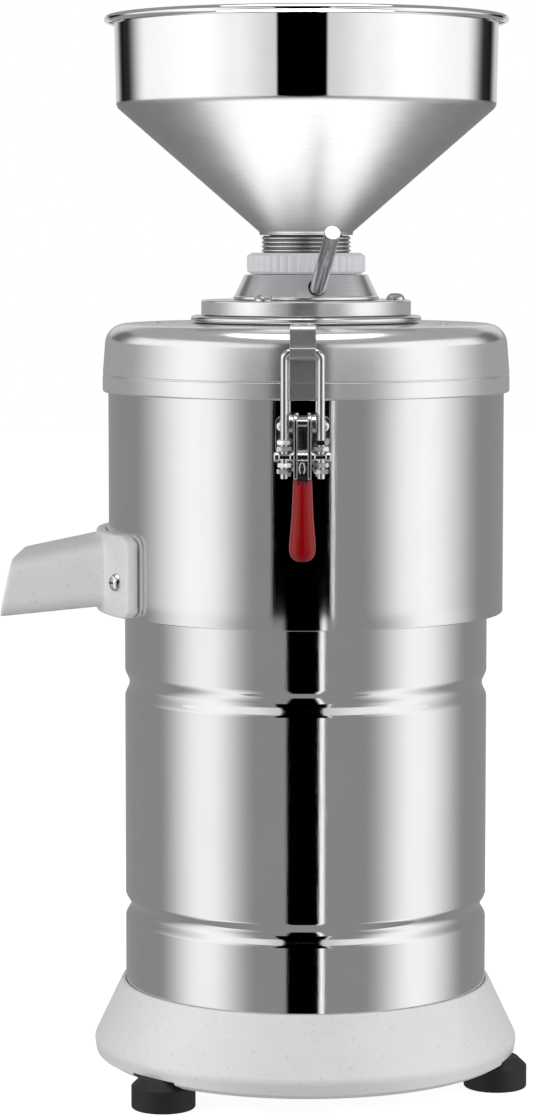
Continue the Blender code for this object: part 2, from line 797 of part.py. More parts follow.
def motor_housing():
    outline = [Vector((HOUSING_RADIUS, HOUSING_TOP))]
    for level, depth, height in reversed(GROOVES):
        outline.extend(groove_points(HOUSING_LEVEL + level, depth, height))
    outline.append(Vector((HOUSING_RADIUS, HOUSING_LEVEL)))
    drum = turned_sheet("motor_housing", outline, HOUSING_WALL, BODY_STEPS, STAINLESS, AXIS)
    back = HOUSING_RADIUS + OVERCUT
    inside = HOUSING_RADIUS * math.cos(math.pi / BODY_STEPS) - SWITCH_BODY_DEPTH / 2
    half_width = SWITCH_BODY_WIDTH / 2 + GAP
    half_height = SWITCH_BODY_HEIGHT / 2 + GAP
    level = HOUSING_LEVEL + SWITCH_LEVEL
    window = box_tool(
        "switch window",
        (-half_width, inside, level - half_height),
        (half_width, back, level + half_height),
        AXIS,
    )
    level = HOUSING_LEVEL + GLAND_LEVEL
    hole = rod_tool(
        "gland hole", GLAND_THREAD_RADIUS + GAP, (0, inside, level), (0, back, level), INNER_STEPS, AXIS
    )
    cut(drum, window, hole)


def switch():
    """A rocker switch: its bezel follows the drum, its box reaches inside."""
    level = HOUSING_LEVEL + SWITCH_LEVEL
    face = HOUSING_RADIUS + SWITCH_BEZEL_WALL
    centre = empty("rocker_axis", (0.0, face - ROCKER_PIVOT_DEPTH, level), parent=AXIS)
    depth = face - ROCKER_PIVOT_DEPTH
    back = HOUSING_RADIUS - SWITCH_BODY_DEPTH
    half_width = SWITCH_BEZEL_WIDTH / 2
    half_height = SWITCH_BEZEL_HEIGHT / 2
    shape = bmesh.new()
    add_box(shape, (-half_width, -BEZEL_DEPTH, -half_height), (half_width, face - depth, half_height))
    frame = place_piece("switch_frame", mesh_of("switch_frame", shape), BLACK_PLASTIC, centre)
    soften(frame, BEZEL_EDGE)
    drum = turned_tool(
        "switch seat",
        (
            (HOUSING_RADIUS + GAP, level + SWITCH_BEZEL_HEIGHT),
            (HOUSING_RADIUS + GAP, level - SWITCH_BEZEL_HEIGHT),
            (HOUSING_RADIUS / 2, level - SWITCH_BEZEL_HEIGHT),
            (HOUSING_RADIUS / 2, level + SWITCH_BEZEL_HEIGHT),
        ),
        BODY_STEPS,
        AXIS,
    )
    half_width = SWITCH_BODY_WIDTH / 2
    half_height = SWITCH_BODY_HEIGHT / 2
    body = box_tool(
        "switch box",
        (-half_width, back - depth, -half_height),
        (half_width, face - depth - BEZEL_EDGE, half_height),
        centre,
    )
    cavity = box_tool(
        "switch cavity",
        (-half_width + SWITCH_WALL, back - depth + SWITCH_WALL, -half_height + SWITCH_WALL),
        (half_width - SWITCH_WALL, face - depth + OVERCUT, half_height - SWITCH_WALL),
        centre,
    )
    axle_reach = half_width - SWITCH_WALL / 2
    bearing = rod_tool(
        "rocker bearing",
        ROCKER_AXLE_RADIUS + GAP,
        (-axle_reach - GAP, 0, 0),
        (axle_reach + GAP, 0, 0),
        SMALL_STEPS,
        centre,
    )
    cut(frame, drum)
    join(frame, body)
    cut(frame, cavity, bearing)
    corners = [(0.0, ROCKER_VALLEY), (ROCKER_RADIUS, ROCKER_RISE), (ROCKER_RADIUS, 0.0)]
    corners += [
        (ROCKER_RADIUS * math.cos(angle), -ROCKER_RADIUS * math.sin(angle))
        for angle in (math.pi * step / ROCKER_STEPS for step in range(1, ROCKER_STEPS))
    ]
    corners += [(-ROCKER_RADIUS, 0.0), (-ROCKER_RADIUS, ROCKER_RISE)]
    outline = [(across, up) for up, across in corners]
    width = SWITCH_BODY_WIDTH - 2 * SWITCH_WALL - 2 * GAP
    rocker_mesh = slab_mesh("switch_rocker", [outline], width, SIDE_VIEW)
    rocker = place_piece("switch_rocker", rocker_mesh, BLACK_PLASTIC, centre)
    rocker.rotation_euler = (math.radians(ROCKER_TILT), 0.0, 0.0)
    axle = rod_tool(
        "rocker axle", ROCKER_AXLE_RADIUS, (-axle_reach, 0, 0), (axle_reach, 0, 0), SMALL_STEPS, rocker
    )
    join(rocker, axle)


def cable_gland():
    """A screwed cable gland, bored right through, pointing straight out at the back."""
    centre = empty("gland_axis", (0.0, HOUSING_RADIUS, HOUSING_LEVEL + GLAND_LEVEL), parent=AXIS)
    face = GLAND_STANDOFF + GAP
    shoulder = face + GLAND_HEX_HEIGHT
    end = shoulder + GLAND_DOME_HEIGHT
    gland = turned(
        "cable_gland",
        (
            (GLAND_BORE_RADIUS, end),
            (GLAND_BORE_RADIUS + GLAND_MOUTH_WALL, end),
            (GLAND_DOME_RADIUS, end - GLAND_CROWN_HEIGHT, GLAND_CROWN_FILLET),
            (GLAND_DOME_RADIUS, face),
            (GLAND_THREAD_RADIUS, face),
            (GLAND_THREAD_RADIUS, -GLAND_INSIDE),
            (GLAND_BORE_RADIUS, -GLAND_INSIDE),
        ),
        INNER_STEPS,
        BLACK_PLASTIC,
        centre,
    )
    gland.rotation_euler = (math.radians(-90.0), 0.0, 0.0)
    hexagon = bmesh.new()
    add_rod(hexagon, GLAND_HEX_RADIUS, (0, 0, face), (0, 0, shoulder), HEXAGON)
    flange = place_tool("gland hexagon", mesh_of("gland hexagon", hexagon), gland)
    bore = rod_tool(
        "gland bore",
        GLAND_BORE_RADIUS,
        (0, 0, -GLAND_INSIDE - OVERCUT),
        (0, 0, end + OVERCUT),
        INNER_STEPS,
        gland,
    )
    join(gland, flange)
    cut(gland, bore)


def chamber_floor():
    """Floor of the grinding chamber, with the motor's spigot, skirt and bearing hub below it."""
    seal_seat = FLOOR_TOP - SHAFT_SEAL_HEIGHT - GAP
    bearing_seat = UPPER_BEARING_LEVEL + UPPER_BEARING_HEIGHT + GAP
    hub = UPPER_BEARING_RADIUS + GAP + HUB_WALL
    web = FLOOR_TOP - FLOOR_WEB_HEIGHT
    spigot = HOUSING_RADIUS - HOUSING_WALL - GAP
    spigot_low = FLOOR_LEVEL - FLOOR_SPIGOT_HEIGHT
    skirt_low = STATOR_TOP + GAP
    skirt_bore = STATOR_RADIUS - SHIELD_WALL
    hub_low = UPPER_BEARING_LEVEL - HUB_LIP
    casting = turned(
        "chamber_floor",
        (
            (DRUM_RADIUS - DRUM_WALL - GAP, FLOOR_TOP),
            (DRUM_RADIUS - DRUM_WALL - GAP, FLOOR_LEVEL),
            (spigot, FLOOR_LEVEL),
            (spigot, spigot_low),
            (spigot - FLOOR_SPIGOT_WALL, spigot_low),
            (spigot - FLOOR_SPIGOT_WALL, web),
            (STATOR_RADIUS, web),
            (STATOR_RADIUS, skirt_low),
            (skirt_bore, skirt_low),
            (skirt_bore, web),
            (hub, web),
            (hub, hub_low),
            (UPPER_BEARING_RADIUS + GAP, hub_low),
            (UPPER_BEARING_RADIUS + GAP, bearing_seat),
            (SHAFT_RADIUS + SHAFT_HOLE_MARGIN, bearing_seat),
            (SHAFT_RADIUS + SHAFT_HOLE_MARGIN, seal_seat),
            (SHAFT_SEAL_RADIUS + GAP, seal_seat),
            (SHAFT_SEAL_RADIUS + GAP, FLOOR_TOP),
        ),
        BODY_STEPS,
        CAST_ALUMINIUM,
        AXIS,
    )
    holes = bmesh.new()
    for azimuth in TIE_BOLT_AZIMUTHS.values():
        low = around(TIE_BOLT_CIRCLE, azimuth, web - OVERCUT)
        high = around(TIE_BOLT_CIRCLE, azimuth, web + TIE_BOLT_GRIP + GAP)
        add_rod(holes, TIE_BOLT_RADIUS + GAP, low, high, SMALL_STEPS)
    cut(casting, place_tool("tie bolt holes", mesh_of("tie bolt holes", holes), AXIS))


def grinding_housing():
    """The upper drum, with the window for the spout and the holes for its screws."""
    inner = DRUM_RADIUS - DRUM_WALL
    drum = turned(
        "grinding_housing",
        (
            (DRUM_RADIUS, DRUM_TOP),
            (DRUM_RADIUS, DRUM_LEVEL),
            (inner, DRUM_LEVEL),
            (inner, DRUM_TOP),
        ),
        BODY_STEPS,
        STAINLESS,
        AXIS,
    )
    cut(drum, spout_window("drum window"), spout_screw_holes("drum screw holes"))


def spout_window(name):
    """The opening through drum and gasket, the size of the chute's inside at its root."""
    half_width = SPOUT_WIDTH / 2 - SPOUT_WALL
    low = FLOOR_TOP + GAP
    high = low + SPOUT_ROOT_HEIGHT - 2 * SPOUT_WALL
    outer = DRUM_RADIUS + GASKET_WALL + OVERCUT
    inner = math.sqrt((DRUM_RADIUS - DRUM_WALL) ** 2 - half_width ** 2) - OVERCUT
    return box_tool(name, (-outer, -half_width, low), (-inner, half_width, high), AXIS)


def spout_screw_holes(name):
    holes = bmesh.new()
    inner = DRUM_RADIUS - DRUM_WALL - 2 * OVERCUT
    outer = DRUM_RADIUS + GASKET_WALL + SPOUT_FLANGE_WALL + 2 * OVERCUT
    for azimuth in (180.0 - SPOUT_SCREW_AZIMUTH, 180.0 + SPOUT_SCREW_AZIMUTH):
        start = around(inner, azimuth, SPOUT_SCREW_LEVEL)
        end = around(outer, azimuth, SPOUT_SCREW_LEVEL)
        add_rod(holes, SCREW_RADIUS + GAP, start, end, SMALL_STEPS)
    return place_tool(name, mesh_of(name, holes), AXIS)


def curved_plate(name, radius, wall, look):
    """A rounded rectangle of bent plate on the drum, at the spout."""
    low = SPOUT_FLANGE_LEVEL
    high = low + SPOUT_FLANGE_HEIGHT
    plate = turned(
        name,
        ((radius + wall, high), (radius + wall, low), (radius, low), (radius, high)),
        BODY_STEPS,
        look,
        AXIS,
    )
    half = SPOUT_FLANGE_WIDTH / 2
    outline = round_corners(
        (
            (-half, low, SPOUT_FLANGE_CORNER),
            (half, low, SPOUT_FLANGE_CORNER),
            (half, high, SPOUT_FLANGE_CORNER),
            (-half, high, SPOUT_FLANGE_CORNER),
        )
    )
    mask_mesh = slab_mesh(f"{name} mask", [outline], DRUM_RADIUS, SIDE_VIEW)
    mask_mesh.transform(Matrix.Translation((-DRUM_RADIUS, 0.0, 0.0)))
    trim(plate, place_tool(f"{name} mask", mask_mesh, AXIS))
    return plate


def chute_tool(name, margin, back, overrun):
    """The chute's slanting block from its back to its tip, drawn in from its faces by the margin."""
    root = -SPOUT_SEAT_RADIUS - SPOUT_ROOT_SINK
    low = FLOOR_TOP + GAP - SPOUT_WALL
    tip_low = low - SPOUT_DROP
    low_slope = (tip_low - low) / (SPOUT_REACH + root)
    tip_top = tip_low + SPOUT_TIP_HEIGHT
    top = low + SPOUT_ROOT_HEIGHT
    top_slope = (tip_top - top) / (SPOUT_REACH - SPOUT_TIP_SLANT + root)
    shape = bmesh.new()
    add_box(shape, (-0.5, -0.5, -0.5), (0.5, 0.5, 0.5))
    for vertex in shape.verts:
        side = math.copysign(SPOUT_WIDTH / 2 - margin, vertex.co.y)
        upper = vertex.co.z > 0.0
        if vertex.co.x > 0.0:
            across = back
        elif upper:
            across = -SPOUT_REACH + SPOUT_TIP_SLANT - overrun
        else:
            across = -SPOUT_REACH - overrun
        slope = top_slope if upper else low_slope
        level = (top - margin if upper else low + margin) + slope * (root - across)
        vertex.co = (across, side, level)
    long_edges = []
    for edge in shape.edges:
        if abs(edge.verts[0].co.x - edge.verts[1].co.x) > 2 * SPOUT_TIP_SLANT:
            long_edges.append(edge)
    radius = max(SPOUT_CORNER - margin, EDGE_FILLET)
    bmesh.ops.bevel(
        shape, geom=long_edges, offset=radius, segments=SPOUT_CORNER_STEPS, profile=0.5, affect="EDGES"
    )
    return place_tool(name, mesh_of(name, shape), AXIS)


def spout():
    """A curved flange with a slanting chute cast on it, and the gasket behind it."""
    gasket = curved_plate("spout_gasket", DRUM_RADIUS + GAP, GASKET_WALL, RUBBER)
    cut(gasket, spout_window("gasket window"), spout_screw_holes("gasket screw holes"))
    casting = curved_plate("spout", SPOUT_SEAT_RADIUS, SPOUT_FLANGE_WALL, CAST_ALUMINIUM)
    back = 2 * SPOUT_ROOT_SINK - SPOUT_EDGE_REACH
    chute = chute_tool("chute", 0.0, back, 0.0)
    seat = SPOUT_SEAT_RADIUS + SPOUT_ROOT_SINK
    low = SPOUT_FLANGE_LEVEL
    high = low + SPOUT_FLANGE_HEIGHT
    seat_corners = ((0.0, high), (seat, high), (seat, low), (0.0, low))
    cut(chute, turned_tool("chute seat", seat_corners, BODY_STEPS, AXIS))
    join(casting, chute)
    overrun = 2 * SPOUT_FLANGE_WALL
    cut(casting, chute_tool("chute inside", SPOUT_WALL, back + overrun, overrun))
    cut(casting, spout_screw_holes("spout screw holes"))
    face = SPOUT_SEAT_RADIUS + SPOUT_FLANGE_WALL + GAP
    for side, azimuth in (("front", 180.0 + SPOUT_SCREW_AZIMUTH), ("rear", 180.0 - SPOUT_SCREW_AZIMUTH)):
        pan_head_screw(
            f"spout_screw_{side}",
            around(face, azimuth, SPOUT_SCREW_LEVEL),
            around(1.0, azimuth, 0.0),
            SPOUT_FLANGE_WALL + GASKET_WALL + DRUM_WALL + SPOUT_SCREW_END,
            STEEL,
            AXIS,
        )


def lid():
    """A spun cap whose band slips over the drum; the seal sits between drum edge and ledge."""
    inner = DRUM_RADIUS + GAP
    side = LID_RADIUS - LID_SIDE_WALL
    hole = SLEEVE_RADIUS + GAP
    cap = turned(
        "lid",
        (
            (hole, LID_TOP),
            (LID_CROWN_RADIUS, LID_TOP),
            (LID_RADIUS - LID_TAPER, LID_RIM_TOP, LID_SHOULDER),
            (LID_RADIUS, LID_LEVEL + LID_BAND_HEIGHT),
            (LID_RADIUS, LID_LEVEL, EDGE_FILLET),
            (inner, LID_LEVEL),
            (inner, LID_LEDGE),
            (side, LID_LEDGE),
            (side, LID_RIM_TOP - LID_TOP_WALL, LID_INNER_FILLET),
            (hole, LID_RIM_TOP - LID_TOP_WALL),
        ),
        BODY_STEPS,
        SATIN_ALUMINIUM,
        AXIS,
    )
    low = DRUM_TOP + GAP
    turned(
        "lid_seal",
        (
            (DRUM_RADIUS - GAP, low + SEAL_HEIGHT),
            (DRUM_RADIUS - GAP, low),
            (DRUM_RADIUS - SEAL_WIDTH, low),
            (DRUM_RADIUS - SEAL_WIDTH, low + SEAL_HEIGHT),
        ),
        BODY_STEPS,
        RUBBER,
        AXIS,
    )
    cut(cap, flange_screw_holes("lid screw holes"))


def flange_screw_holes(name):
    holes = bmesh.new()
    for azimuth in FLANGE_SCREW_AZIMUTHS:
        low = around(FLANGE_SCREW_CIRCLE, azimuth, FLANGE_TOP - FLANGE_SCREW_GRIP - 5 * OVERCUT)
        high = around(FLANGE_SCREW_CIRCLE, azimuth, FLANGE_TOP + OVERCUT)
        add_rod(holes, SCREW_RADIUS + GAP, low, high, SMALL_STEPS)
    return place_tool(name, mesh_of(name, holes), AXIS)


def adjuster_flange():
    """The plate and keyed sleeve that guide the neck, with the bead ring under the plate."""
    ring = turned(
        "flange_ring",
        (
            (SLEEVE_RADIUS + GAP, BEAD_LEVEL + BEAD_HEIGHT),
            (BEAD_RADIUS, BEAD_LEVEL + BEAD_HEIGHT, BEAD_FILLET),
            (BEAD_RADIUS, BEAD_LEVEL, BEAD_FILLET),
            (SLEEVE_RADIUS + GAP, BEAD_LEVEL),
        ),
        BODY_STEPS,
        STAINLESS,
        AXIS,
    )
    cut(ring, flange_screw_holes("ring screw holes"))
    flange = turned(
        "adjuster_flange",
        (
            (SLEEVE_BORE, FLANGE_TOP),
            (FLANGE_RADIUS, FLANGE_TOP, EDGE_FILLET),
            (FLANGE_RADIUS, FLANGE_LEVEL, EDGE_FILLET),
            (SLEEVE_RADIUS, FLANGE_LEVEL),
            (SLEEVE_RADIUS, SLEEVE_LEVEL),
            (SLEEVE_BORE, SLEEVE_LEVEL),
        ),
        RING_STEPS,
        MACHINED_ALUMINIUM,
        AXIS,
    )
    key = box_tool(
        "neck key",
        (-KEY_WIDTH / 2, NECK_RADIUS - KEY_DEPTH, SLEEVE_LEVEL + EDGE_FILLET),
        (KEY_WIDTH / 2, SLEEVE_BORE + SLEEVE_WALL / 2, FLANGE_TOP - EDGE_FILLET),
        AXIS,
    )
    cut(flange, flange_screw_holes("flange screw holes"))
    join(flange, key)
    for number, azimuth in enumerate(FLANGE_SCREW_AZIMUTHS, start=1):
        pan_head_screw(
            f"flange_screw_{number}",
            around(FLANGE_SCREW_CIRCLE, azimuth, FLANGE_TOP + GAP),
            (0, 0, 1),
            FLANGE_SCREW_GRIP,
            STEEL,
            AXIS,
        )


def threaded_neck():
    """The feed tube, keyed against turning; its flange carries the upper stone."""
    flange_top = NECK_LEVEL + NECK_FLANGE_HEIGHT
    neck = turned(
        "threaded_neck",
        (
            (NECK_RADIUS - EDGE_FILLET, NECK_TOP),
            (NECK_RADIUS, NECK_TOP - EDGE_FILLET),
            (NECK_RADIUS, flange_top, 2 * EDGE_FILLET),
            (NECK_FLANGE_RADIUS, flange_top, EDGE_FILLET),
            (NECK_FLANGE_RADIUS, NECK_LEVEL),
            (NECK_BORE, NECK_LEVEL),
            (NECK_BORE, NECK_TOP),
        ),
        RING_STEPS,
        MACHINED_ALUMINIUM,
        AXIS,
    )
    half = KEY_WIDTH / 2 + GAP
    keyway = box_tool(
        "neck keyway",
        (-half, NECK_RADIUS - KEY_DEPTH - GAP, SLEEVE_LEVEL - NECK_TRAVEL_UP - OVERCUT),
        (half, NECK_RADIUS + OVERCUT, FLANGE_TOP + NECK_TRAVEL_UP + EDGE_FILLET),
        AXIS,
    )
    cut(neck, keyway)
    turned(
        "upper_stone",
        (
            (STONE_EYE_RADIUS, UPPER_STONE_LEVEL + STONE_HEIGHT),
            (STONE_RADIUS, UPPER_STONE_LEVEL + STONE_HEIGHT, STONE_EDGE),
            (STONE_RADIUS, UPPER_STONE_LEVEL),
            (STONE_EYE_RADIUS + STONE_THROAT, UPPER_STONE_LEVEL),
            (STONE_EYE_RADIUS, UPPER_STONE_LEVEL + STONE_THROAT),
        ),
        RING_STEPS,
        STONE,
        AXIS,
    )


def adjusting_collar():
    """The tapered nut that sets the gap between the stones, and the lever that turns it."""
    foot = COLLAR_LEVEL + COLLAR_FOOT_HEIGHT
    collar = turned(
        "adjusting_collar",
        (
            (SLEEVE_BORE, COLLAR_TOP),
            (COLLAR_TOP_RADIUS, COLLAR_TOP, EDGE_FILLET),
            (COLLAR_RADIUS, foot),
            (COLLAR_RADIUS + COLLAR_FOOT_STEP, foot),
            (COLLAR_RADIUS + COLLAR_FOOT_STEP, COLLAR_LEVEL),
            (SLEEVE_BORE, COLLAR_LEVEL),
        ),
        BODY_STEPS,
        MACHINED_ALUMINIUM,
        AXIS,
    )
    level = COLLAR_LEVEL + COLLAR_HEIGHT / 2
    surface = (COLLAR_RADIUS + COLLAR_TOP_RADIUS) / 2
    inside = surface - LEVER_TANG
    rise = math.radians(LEVER_RISE)
    bend_centre = Vector((surface + EDGE_FILLET, level + LEVER_BEND_RADIUS))
    route = [Vector((inside, level))]
    for step in range(LEVER_BEND_STEPS + 1):
        angle = rise * step / LEVER_BEND_STEPS
        route.append(bend_centre + LEVER_BEND_RADIUS * Vector((math.sin(angle), -math.cos(angle))))
    route.append(route[-1] + LEVER_LENGTH * Vector((math.cos(rise), math.sin(rise))))
    places = [around(point.x, LEVER_AZIMUTH, point.y) for point in route]
    rod = wire_curve("adjusting_lever", places, LEVER_RADIUS, LEVER_SIDES)
    place_piece("adjusting_lever", rod, STEEL, AXIS)
    hole = rod_tool(
        "lever hole",
        LEVER_RADIUS + GAP,
        around(inside - GAP, LEVER_AZIMUTH, level),
        around(COLLAR_RADIUS + COLLAR_FOOT_STEP + OVERCUT, LEVER_AZIMUTH, level),
        INNER_STEPS,
        AXIS,
    )
    cut(collar, hole)


def lock_ring():
    """The pale ring with fine teeth that locks the collar."""
    outline = []
    for number in range(TOOTH_COUNT):
        pitch = 360.0 / TOOTH_COUNT
        for share, radius in ((0.0, LOCK_RING_RADIUS - TOOTH_DEPTH), (0.5, LOCK_RING_RADIUS)):
            point = around(radius, pitch * (number + share), 0.0)
            outline.append((point.x, point.y))
    mesh = slab_mesh("lock_ring", [outline], LOCK_RING_HEIGHT, Matrix())
    mesh.transform(Matrix.Translation((0.0, 0.0, LOCK_RING_LEVEL + LOCK_RING_HEIGHT / 2)))
    ring = place_piece("lock_ring", mesh, NYLON, AXIS)
    margin = OVERCUT / 2
    body = turned_tool(
        "lock ring body",
        (
            (SLEEVE_BORE, LOCK_RING_TOP + margin),
            (LOCK_RING_RADIUS - LOCK_RING_CHAMFER - margin, LOCK_RING_TOP + margin),
            (LOCK_RING_RADIUS + margin, LOCK_RING_TOP - LOCK_RING_CHAMFER - margin),
            (LOCK_RING_RADIUS + margin, LOCK_RING_LEVEL - margin),
            (SLEEVE_BORE, LOCK_RING_LEVEL - margin),
        ),
        RING_STEPS,
        AXIS,
    )
    trim(ring, body)


def hopper():
    """One spun sheet: spigot, lip, cone, wall and a rim rolled outwards, drawn on its outer face."""
    top = HOPPER_LEVEL + HOPPER_HEIGHT
    curl_level = top - CURL_RADIUS - HOPPER_WALL
    curl_centre = HOPPER_MOUTH_RADIUS + CURL_RADIUS
    outline = []
    for step in range(CURL_STEPS + 1):
        angle = math.radians(CURL_START + CURL_TURN * step / CURL_STEPS)
        drop = CURL_DROP if step == 0 else 0.0
        across = curl_centre + CURL_RADIUS * math.cos(angle)
        outline.append(Vector((across, curl_level - drop + CURL_RADIUS * math.sin(angle))))
    corner = (HOPPER_CONE_RADIUS, HOPPER_LEVEL + HOPPER_CONE_HEIGHT, HOPPER_CORNER)
    lip = HOPPER_LEVEL + HOPPER_LIP_HEIGHT
    bend = round_corners((tuple(outline[-1]), corner, (HOPPER_LIP_RADIUS, lip)))
    outline.extend(bend[1:])
    outline.append(Vector((HOPPER_LIP_RADIUS, HOPPER_LEVEL)))
    outline.append(Vector((NECK_BORE - GAP, HOPPER_LEVEL)))
    outline.append(Vector((NECK_BORE - GAP, HOPPER_LEVEL - HOPPER_SPIGOT)))
    turned_sheet("hopper", outline, HOPPER_WALL, BODY_STEPS, POLISHED_STEEL, AXIS)


def latch_base(side, pivot):
    """A riveted plate, hollowed to the drum, with two ears for the lever's pin."""
    half = LATCH_BASE_WIDTH / 2
    outline = round_corners(
        (
            (-half, -LATCH_BASE_LOW, LATCH_BASE_LOW_CORNER),
            (half, -LATCH_BASE_LOW, LATCH_BASE_LOW_CORNER),
            (half, LATCH_BASE_HIGH, LATCH_BASE_CORNER),
            (-half, LATCH_BASE_HIGH, LATCH_BASE_CORNER),
        )
    )
    mesh = slab_mesh(f"{side}_latch_base", [outline], LATCH_BASE_BLANK, FRONT_VIEW)
    middle = PIVOT_STANDOFF - LATCH_BASE_WALL - GAP + LATCH_BASE_BLANK / 2
    mesh.transform(Matrix.Translation((0.0, middle, 0.0)))
    plate = place_piece(f"{side}_latch_base", mesh, STAINLESS, pivot)
    drum = turned_tool(
        f"{side} latch seat",
        (
            (DRUM_RADIUS + GAP, PIVOT_LEVEL + 2 * LATCH_BASE_LOW),
            (DRUM_RADIUS + GAP, PIVOT_LEVEL - 2 * LATCH_BASE_LOW),
            (DRUM_RADIUS / 2, PIVOT_LEVEL - 2 * LATCH_BASE_LOW),
            (DRUM_RADIUS / 2, PIVOT_LEVEL + 2 * LATCH_BASE_LOW),
        ),
        BODY_STEPS,
        AXIS,
    )
    cut(plate, drum)
    inner = ARM_WIDTH / 2 + GAP
    root = PIVOT_STANDOFF - LATCH_BASE_WALL / 2
    outline = round_corners(
        (
            (root, -EAR_RADIUS),
            (-EAR_RADIUS, -EAR_RADIUS, EAR_ROUNDING),
            (-EAR_RADIUS, EAR_RADIUS, EAR_ROUNDING),
            (root, LATCH_BASE_HIGH - EAR_TOP_STEP),
        )
    )
    for hand, sign in (("left", -1), ("right", 1)):
        ear_mesh = slab_mesh(f"{side} {hand} ear", [outline], EAR_WALL, SIDE_VIEW)
        ear_mesh.transform(Matrix.Translation((sign * (inner + EAR_WALL / 2), 0.0, 0.0)))
        join(plate, place_tool(f"{side} {hand} ear", ear_mesh, pivot))
    hole = rod_tool(
        f"{side} pin hole", LATCH_PIN_RADIUS + GAP, (-half, 0, 0), (half, 0, 0), SMALL_STEPS, pivot
    )
    cut(plate, hole)


def latch_lever(side, pivot):
    """Two arms on the pin, joined below, with a tang that the grip covers."""
    half = ARM_DEPTH / 2
    outline = round_corners(
        (
            (-half, -ARM_LENGTH, EDGE_FILLET),
            (half, -ARM_LENGTH, EDGE_FILLET),
            (half, half, half),
            (-half, half, half),
        ),
        ARM_STEPS,
    )
    mesh = slab_mesh(f"{side}_latch_lever", [outline], ARM_WIDTH, SIDE_VIEW)
    lever = place_piece(f"{side}_latch_lever", mesh, STAINLESS, pivot)
    inner = ARM_WIDTH / 2 - ARM_WALL
    slot = box_tool(
        f"{side} arm slot",
        (-inner, -ARM_DEPTH, -ARM_LENGTH + ARM_BRIDGE),
        (inner, ARM_DEPTH, ARM_DEPTH),
        pivot,
    )
    tilt = Matrix.Translation((0.0, 0.0, -ARM_LENGTH)) @ Matrix.Rotation(math.radians(-GRIP_TILT), 4, "X")
    tang = box_tool(
        f"{side} tang",
        (-TANG_WIDTH / 2, -TANG_DEPTH / 2, -TANG_LENGTH),
        (TANG_WIDTH / 2, TANG_DEPTH / 2, OVERCUT),
        pivot,
        tilt,
    )
    pin_hole = rod_tool(
        f"{side} lever pin hole",
        LATCH_PIN_RADIUS + GAP,
        (-ARM_WIDTH, 0, 0),
        (ARM_WIDTH, 0, 0),
        SMALL_STEPS,
        pivot,
    )
    bar_hole = rod_tool(
        f"{side} trunnion hole",
        TRUNNION_RADIUS + GAP,
        (-ARM_WIDTH, 0, -CRANK),
        (ARM_WIDTH, 0, -CRANK),
        SMALL_STEPS,
        pivot,
    )
    cut(lever, slot)
    join(lever, tang)
    cut(lever, pin_hole, bar_hole)
    pin = bmesh.new()
    reach = ARM_WIDTH / 2 + GAP + EAR_WALL
    add_rod(pin, LATCH_PIN_RADIUS, (-reach, 0, 0), (reach, 0, 0), SMALL_STEPS)
    place_piece(f"{side}_latch_pin", mesh_of(f"{side}_latch_pin", pin), STEEL, pivot)
    latch_grip(side, pivot, tilt)


def latch_grip(side, pivot, tilt):
    """The soft sleeve on the tang, wider and rounded at its free end."""
    top = -GAP
    low = -GRIP_LENGTH
    outline = round_corners(
        (
            (-GRIP_TOP_WIDTH / 2, top, EDGE_FILLET),
            (-GRIP_END_WIDTH / 2, low + GRIP_END_LENGTH, GRIP_END_FILLET),
            (-GRIP_END_WIDTH / 2, low, GRIP_END_FILLET),
            (GRIP_END_WIDTH / 2, low, GRIP_END_FILLET),
            (GRIP_END_WIDTH / 2, low + GRIP_END_LENGTH, GRIP_END_FILLET),
            (GRIP_TOP_WIDTH / 2, top, EDGE_FILLET),
        )
    )
    mesh = slab_mesh(f"{side}_latch_grip", [outline], GRIP_DEPTH, FRONT_VIEW)
    mesh.transform(tilt)
    grip = place_piece(f"{side}_latch_grip", mesh, RED_VINYL, pivot)
    soften(grip, GRIP_EDGE, 1)
    pocket = box_tool(
        f"{side} grip pocket",
        (-TANG_WIDTH / 2 - GAP, -TANG_DEPTH / 2 - GAP, -TANG_LENGTH - GAP),
        (TANG_WIDTH / 2 + GAP, TANG_DEPTH / 2 + GAP, 2 * OVERCUT),
        pivot,
        tilt,
    )
    arm_end = box_tool(
        f"{side} arm end clearance",
        (-ARM_WIDTH, -ARM_DEPTH, -ARM_LENGTH - GAP),
        (ARM_WIDTH, ARM_DEPTH, 0.0),
        pivot,
    )
    cut(grip, pocket, arm_end)


